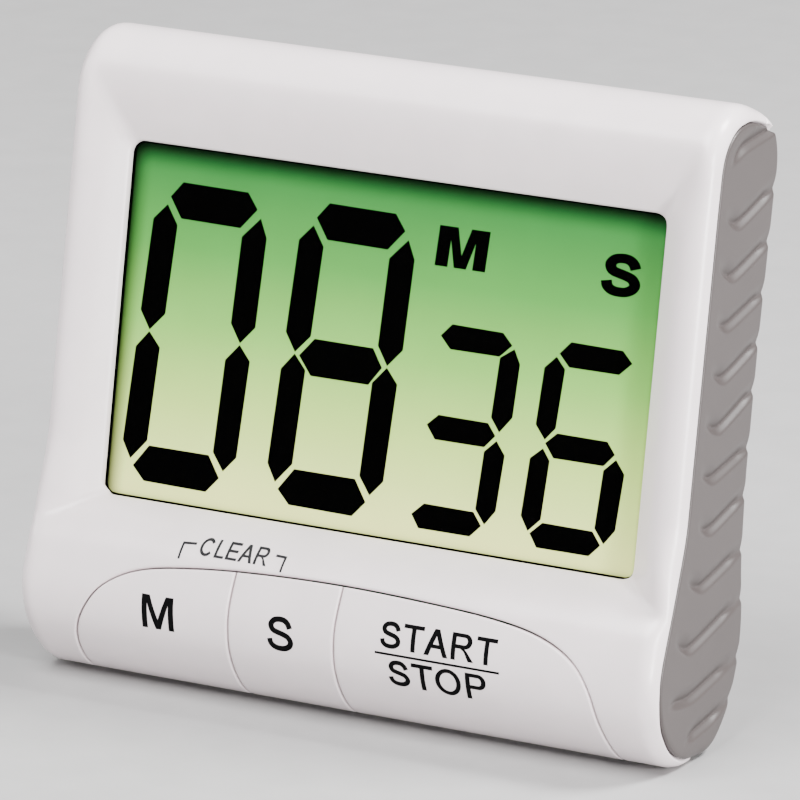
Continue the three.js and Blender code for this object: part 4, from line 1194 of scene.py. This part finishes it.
def pod_parts():
    """The battery pod: a base with the compartment, then the door's channel and its lips."""
    magnets = magnet_outlines(MAGNET_GAP)
    compartment = box_outline(0.0, BOX_CORNER)
    base = pad([pod_outline(), compartment, *magnets], DOOR_SEAT, POD_BASE, 0.05, 2.0, soft=())
    wide, narrow = DOOR_HALF_WIDTH + TONGUE + FIT, DOOR_HALF_WIDTH + FIT
    middle = pad([pod_layer(wide, DOOR_FOOT - FIT), *magnets], RAIL_BACK, DOOR_SEAT, 0.05, 2.0, soft=())
    lip_edge = pod_layer(narrow, DOOR_FOOT - FIT)
    flat, faces, _ = fill([lip_edge, *magnets], 1.0, rings=POD_ROWS, border_step=0.35)
    drop = edge_drop(distance_to(flat, pod_outline()), POD_EDGE)
    lip = thickened(at_depth(flat, POD_BACK - drop), faces, at_depth(flat, RAIL_BACK))
    tray_edge = box_outline(BOX_WALL, TRAY_CORNER)
    tray_front = BOX_FLOOR - TRAY_FLOOR
    tray = prism([tray_edge, compartment], POD_BASE, tray_front, 2.5, 1.0)
    floor = prism([tray_edge], BOX_FLOOR, tray_front, 2.5, 1.0)
    return [base, middle, lip, tray, floor]


def make_rear_shell():
    outline = between_grips(FOOT_PARTING + SEAM_HALF, TOP_PARTING + PROFILE.length - SEAM_HALF)
    holes = [box_outline(BOX_GAP, BOX_GAP_CORNER), *magnet_outlines(2 * MAGNET_GAP)]
    compartment, *pockets = [back_outline(line) for line in holes]
    screws = [back_outline(circle(x, z, SCREW_HOLE)) for x, z in SCREWS]
    edges = [outline, compartment, recess_opening(), *pockets, *screws]
    flat, faces, way_in = fill(edges, REAR_SPACING, rings=REAR_ROWS, border_step=REAR_STEP)
    outer, inner = walled(skin_form(*flat.T), way_in, REAR_EDGE)
    parts = [thickened(outer, faces, inner)] + recess_liner() + pod_parts()
    for x, z in SCREWS:
        parts += screw_cup(x, z)
    piece_from("rear_shell_skin", *joined(parts), WHITE_SHELL, "case", ["rear_shell"], "shell_white",
               sharp=EDGED_SHARP)


FINGER_GROOVES = (14.75, 16.25, 17.75, 19.25)
FINGER_REACH, FINGER_SLOPE, FINGER_DEPTH = 5.2, 0.5, 0.4
FINGER_AREA = (-6, 6, 13.8, 20.2, 0.22)
TONGUE_INSET, DOOR_CORNER = 0.3, 0.6


def door_relief(x, z):
    """Finger grooves across the door."""
    fall = np.zeros(len(x))
    for middle in FINGER_GROOVES:
        across = np.clip(1 - np.abs(z - middle) / FINGER_SLOPE, 0, 1)
        ends = np.clip((FINGER_REACH - np.abs(x)) / FINGER_SLOPE, 0, 1)
        fall = np.maximum(fall, FINGER_DEPTH * smooth_step(np.minimum(across, ends), 0, 0.8))
    return fall


def make_door():
    middle = (DOOR_FOOT + DOOR_TOP) / 2
    plate = rounded_box(DOOR_HALF_WIDTH, (DOOR_TOP - DOOR_FOOT) / 2, DOOR_CORNER, 6) + (0, middle)
    parts = [pad([plate], POD_BACK, DOOR_FRONT, 0.25, 1.4, dense_areas=[FINGER_AREA], relief=door_relief)]
    low, high = DOOR_FOOT + TONGUE_INSET, DOOR_TOP - TONGUE_INSET
    near, far = DOOR_HALF_WIDTH, DOOR_HALF_WIDTH + TONGUE
    for side in (-1, 1):
        tongue = np.array([(near, low), (far, low), (far, high), (near, high)]) * (side, 1)
        parts.append(prism([tongue], TONGUE_BACK, DOOR_FRONT))
    piece_from("battery_door_skin", *joined(parts), WHITE_SHELL, "door", ["battery_door"], "shell_white",
               sharp=EDGED_SHARP)


LEG_HALF, LEG_TOP, LEG_FOOT, LEG_EDGE = 15.0, -13.0, -38.0, 0.45
LEG_ROWS, LEG_SPACING, LEG_STEP = (0.06, 0.15, 0.3, 0.45, 0.8), 0.8, 0.3
NOTCH_Z, NOTCH_RADIUS, STAND_OPEN = -39.6, 4.0, math.radians(27)
LEG_BACK = [(12.5, -13), (13.3, -16.8), (14.3, -22), (14.4, -28), (13.7, -33), (12.2, -37.9)]
LEG_FRONT = [(9.7, -13), (10.6, -17.6), (11.5, -22), (11.7, -28), (11.1, -33.5), (10.7, -37.2),
             (11.3, -38)]
PIN, PIN_REACH, BARREL, LEG_THINNEST = 0.8, 1.5, 1.6, 0.1


def opened(points):
    """Points of the folded leg turned out about its hinge."""
    y, z = points[:, 1] - HINGE_Y, points[:, 2] - HINGE_Z
    c, s = math.cos(STAND_OPEN), math.sin(STAND_OPEN)
    return np.column_stack([points[:, 0], HINGE_Y + c * y - s * z, HINGE_Z + s * y + c * z])


def make_leg():
    """The stand's leg with its barrel and pins, drawn folded and then turned out."""
    notch = circle(0, NOTCH_Z, NOTCH_RADIUS, 60)
    notch = notch[notch[:, 1] > LEG_FOOT]
    notch = notch[np.argsort(notch[:, 0])]
    left, right = ([(x, LEG_TOP), (x, LEG_FOOT)] for x in (-LEG_HALF, LEG_HALF))
    outline = np.vstack([left, notch, right[::-1]])
    flat, faces, way_in = fill([outline], LEG_SPACING, rings=LEG_ROWS, border_step=LEG_STEP)
    drop = edge_drop(way_in, LEG_EDGE)
    back, front = spline(LEG_BACK), spline(LEG_FRONT)
    y_back = np.interp(-flat[:, 1], -back[:, 1], back[:, 0]) - drop
    y_front = np.interp(-flat[:, 1], -front[:, 1], front[:, 0]) + drop
    inner = at_depth(flat, np.minimum(y_front, y_back - LEG_THINNEST))
    parts = [thickened(at_depth(flat, y_back), faces, inner)]
    for radius, reach in ((BARREL, LEG_HALF), (PIN, LEG_HALF + PIN_REACH)):
        parts.append(bar_x(circle(HINGE_Y, HINGE_Z, radius, 36), -reach, reach, 0.6, 0.3))
    points, faces = joined(parts)
    piece_from("stand_leg_skin", opened(points), faces, WHITE_SHELL, "stand", ["stand_leg"], "shell_white",
               sharp=EDGED_SHARP)


HEAD_RADIUS, HEAD_BACK, HEAD_THICK, HEAD_EDGE = 1.9, 12.0, 0.7, 0.35
CROSS_REACH, CROSS_HALF, UNDER_INSET = 1.1, 0.22, 0.02
SHANK, SHANK_FRONT, SEAT_CLEAR = 1.0, 4.0, 0.05


def cross_outline(x, z, reach, half):
    corner = [(reach, -half), (reach, half), (half, half)]
    line = []
    for turn in range(4):
        c, s = math.cos(turn * math.pi / 2), math.sin(turn * math.pi / 2)
        line += [(x + c * a - s * b, z + s * a + c * b) for a, b in corner]
    return np.array(line)


def make_screw(number, x, z, steel):
    """A cross-head case screw."""
    cross = cross_outline(x, z, CROSS_REACH, CROSS_HALF)
    below_face, seat = HEAD_BACK - HEAD_THICK, SCREW_SEAT + SEAT_CLEAR
    face = pad([circle(x, z, HEAD_RADIUS), cross], HEAD_BACK, below_face, HEAD_EDGE, 0.4)
    under = prism([circle(x, z, HEAD_RADIUS - UNDER_INSET)], below_face, seat)
    shank = prism([circle(x, z, SHANK, 24)], seat, SHANK_FRONT)
    piece_from(f"case_screw_{number}", *joined([face, under, shank]), steel, "case",
               [f"shell_screw_{number}"], "steel", sharp=EDGED_SHARP)


def metal(name, colour, roughness, grain=0.3):
    """Plated or rolled metal with fine grain and slightly uneven tone."""
    tones = [(DARK_AT, tinted(colour, 0.93)), (LIGHT_AT, tinted(colour, 1.05))]

    def build(tree, shader, mm):
        hue = ramp(tree, noise(tree, mm, 2.0), tones)
        tree.links.new(hue, shader.inputs["Base Color"])
        shader.inputs["Metallic"].default_value = 1.0
        shader.inputs["Roughness"].default_value = roughness
        bumped(tree, shader, noise(tree, mm, grain), 0.3, 0.003)
    return material(name, build)


def make_magnets():
    zinc = metal("magnet_plating", linear(190, 192, 196), 0.28)
    for name, outline in zip(("magnet_left", "magnet_right"), magnet_outlines(0)):
        disc = pad([outline], POD_BACK, POD_BACK - MAGNET_THICK, 0.3, 0.9)
        piece_from(f"{name}_disc", *disc, zinc, "case", [name], "magnet_zinc", sharp=40)


def carried_finishes(steel):
    """(nodes, material) for the parts inside the case that keep their CAD shape."""
    nickel = metal("contact_nickel", linear(196, 194, 188), 0.3)
    return [
        ([f"board_screw_{i}" for i in range(1, 5)], steel),
        (["battery_contact_positive", "battery_contact_negative"], nickel),
        (["crystal"], metal("crystal_can", linear(205, 205, 203), 0.25)),
        (["sounder_plate"], metal("sounder_brass", linear(201, 166, 84), 0.3)),
        (["sounder_ceramic"], moulded("sounder_ceramic_disc", linear(226, 222, 208), 0.5)),
        (["circuit_board"], moulded("board_green_mask", linear(34, 92, 52), 0.4, spread=0.12)),
        (["chip_blob"], moulded("chip_epoxy", linear(16, 16, 17), 0.35)),
        (["capacitor"], moulded("capacitor_body", linear(30, 34, 60), 0.4)),
        (["keypad_mat"], moulded("silicone_mat", linear(176, 178, 180), 0.55)),
        ([f"carbon_pill_{i}" for i in (1, 2, 3)], moulded("carbon_pill", linear(18, 18, 18), 0.8)),
        (["zebra_strip"], moulded("zebra_rubber", linear(60, 58, 62), 0.7, spread=0.2)),
        (["display_frame"], moulded("frame_abs", linear(205, 205, 203), 0.5)),
        (["lcd_reflector"], moulded("green_film", linear(150, 205, 120), 0.5)),
        (["lcd_rear_glass"], moulded("rear_glass", linear(180, 205, 170), 0.2)),
        (["battery_lead_red", "sounder_lead_red"], moulded("wire_red", linear(180, 28, 26), 0.45)),
        (["battery_lead_black", "sounder_lead_black"], moulded("wire_black", linear(22, 22, 22), 0.45)),
        (["battery"], moulded("cell_sleeve_foil", linear(60, 74, 92), 0.35, spread=0.1)),
    ]


def make_insides():
    """The case screws, and better materials for the parts shown as the frame has them."""
    steel = metal("screw_steel", linear(168, 170, 172), 0.35)
    for number, (x, z) in enumerate(SCREWS, 1):
        make_screw(number, x, z, steel)
    for nodes, made in carried_finishes(steel):
        for node in nodes:
            slots = frame["nodes"][node].data.materials
            slots.clear()
            slots.append(made)


make_rear_shell()
make_door()
make_leg()
make_magnets()
make_insides()

# ---------------------------------------------------------------- floor and light
FLOOR_HALF = 1.5
LIGHTS_AIM = Vector((0, 0, 0.035))
WORLD_STRENGTH = 0.1


def make_floor():
    mesh = bpy.data.meshes.new("floor")
    half = FLOOR_HALF
    mesh.from_pydata([(-half, -half, 0), (half, -half, 0), (half, half, 0), (-half, half, 0)], [],
                     [(0, 1, 2, 3)])
    floor = bpy.data.objects.new("floor", mesh)
    bpy.context.scene.collection.objects.link(floor)
    mesh.materials.append(moulded("floor_paper", linear(164, 163, 163), 0.9))


def area_light(name, place, size, power):
    """A square light in metres and watts, aimed at the object."""
    data = bpy.data.lights.new(name, "AREA")
    data.size = size
    data.energy = power
    light = bpy.data.objects.new(name, data)
    light.location = place
    light.rotation_euler = (LIGHTS_AIM - Vector(place)).to_track_quat("-Z", "Y").to_euler()
    bpy.context.scene.collection.objects.link(light)


def make_world():
    world = bpy.data.worlds.new("studio")
    world.use_nodes = True
    background = world.node_tree.nodes["Background"]
    background.inputs["Color"].default_value = (1, 1, 1, 1)
    background.inputs["Strength"].default_value = WORLD_STRENGTH
    bpy.context.scene.world = world


make_floor()
make_world()
area_light("top_light", (-0.1, -0.45, 0.85), 0.5, 16)
area_light("left_light", (-0.85, -0.2, 0.42), 0.4, 3.2)
area_light("right_light", (0.8, -0.42, 0.38), 0.16, 8)
area_light("rim_light", (0.85, -0.44, 0.09), 0.1, 8)
area_light("rib_light", (0.5, 0.25, 0.75), 0.25, 20)
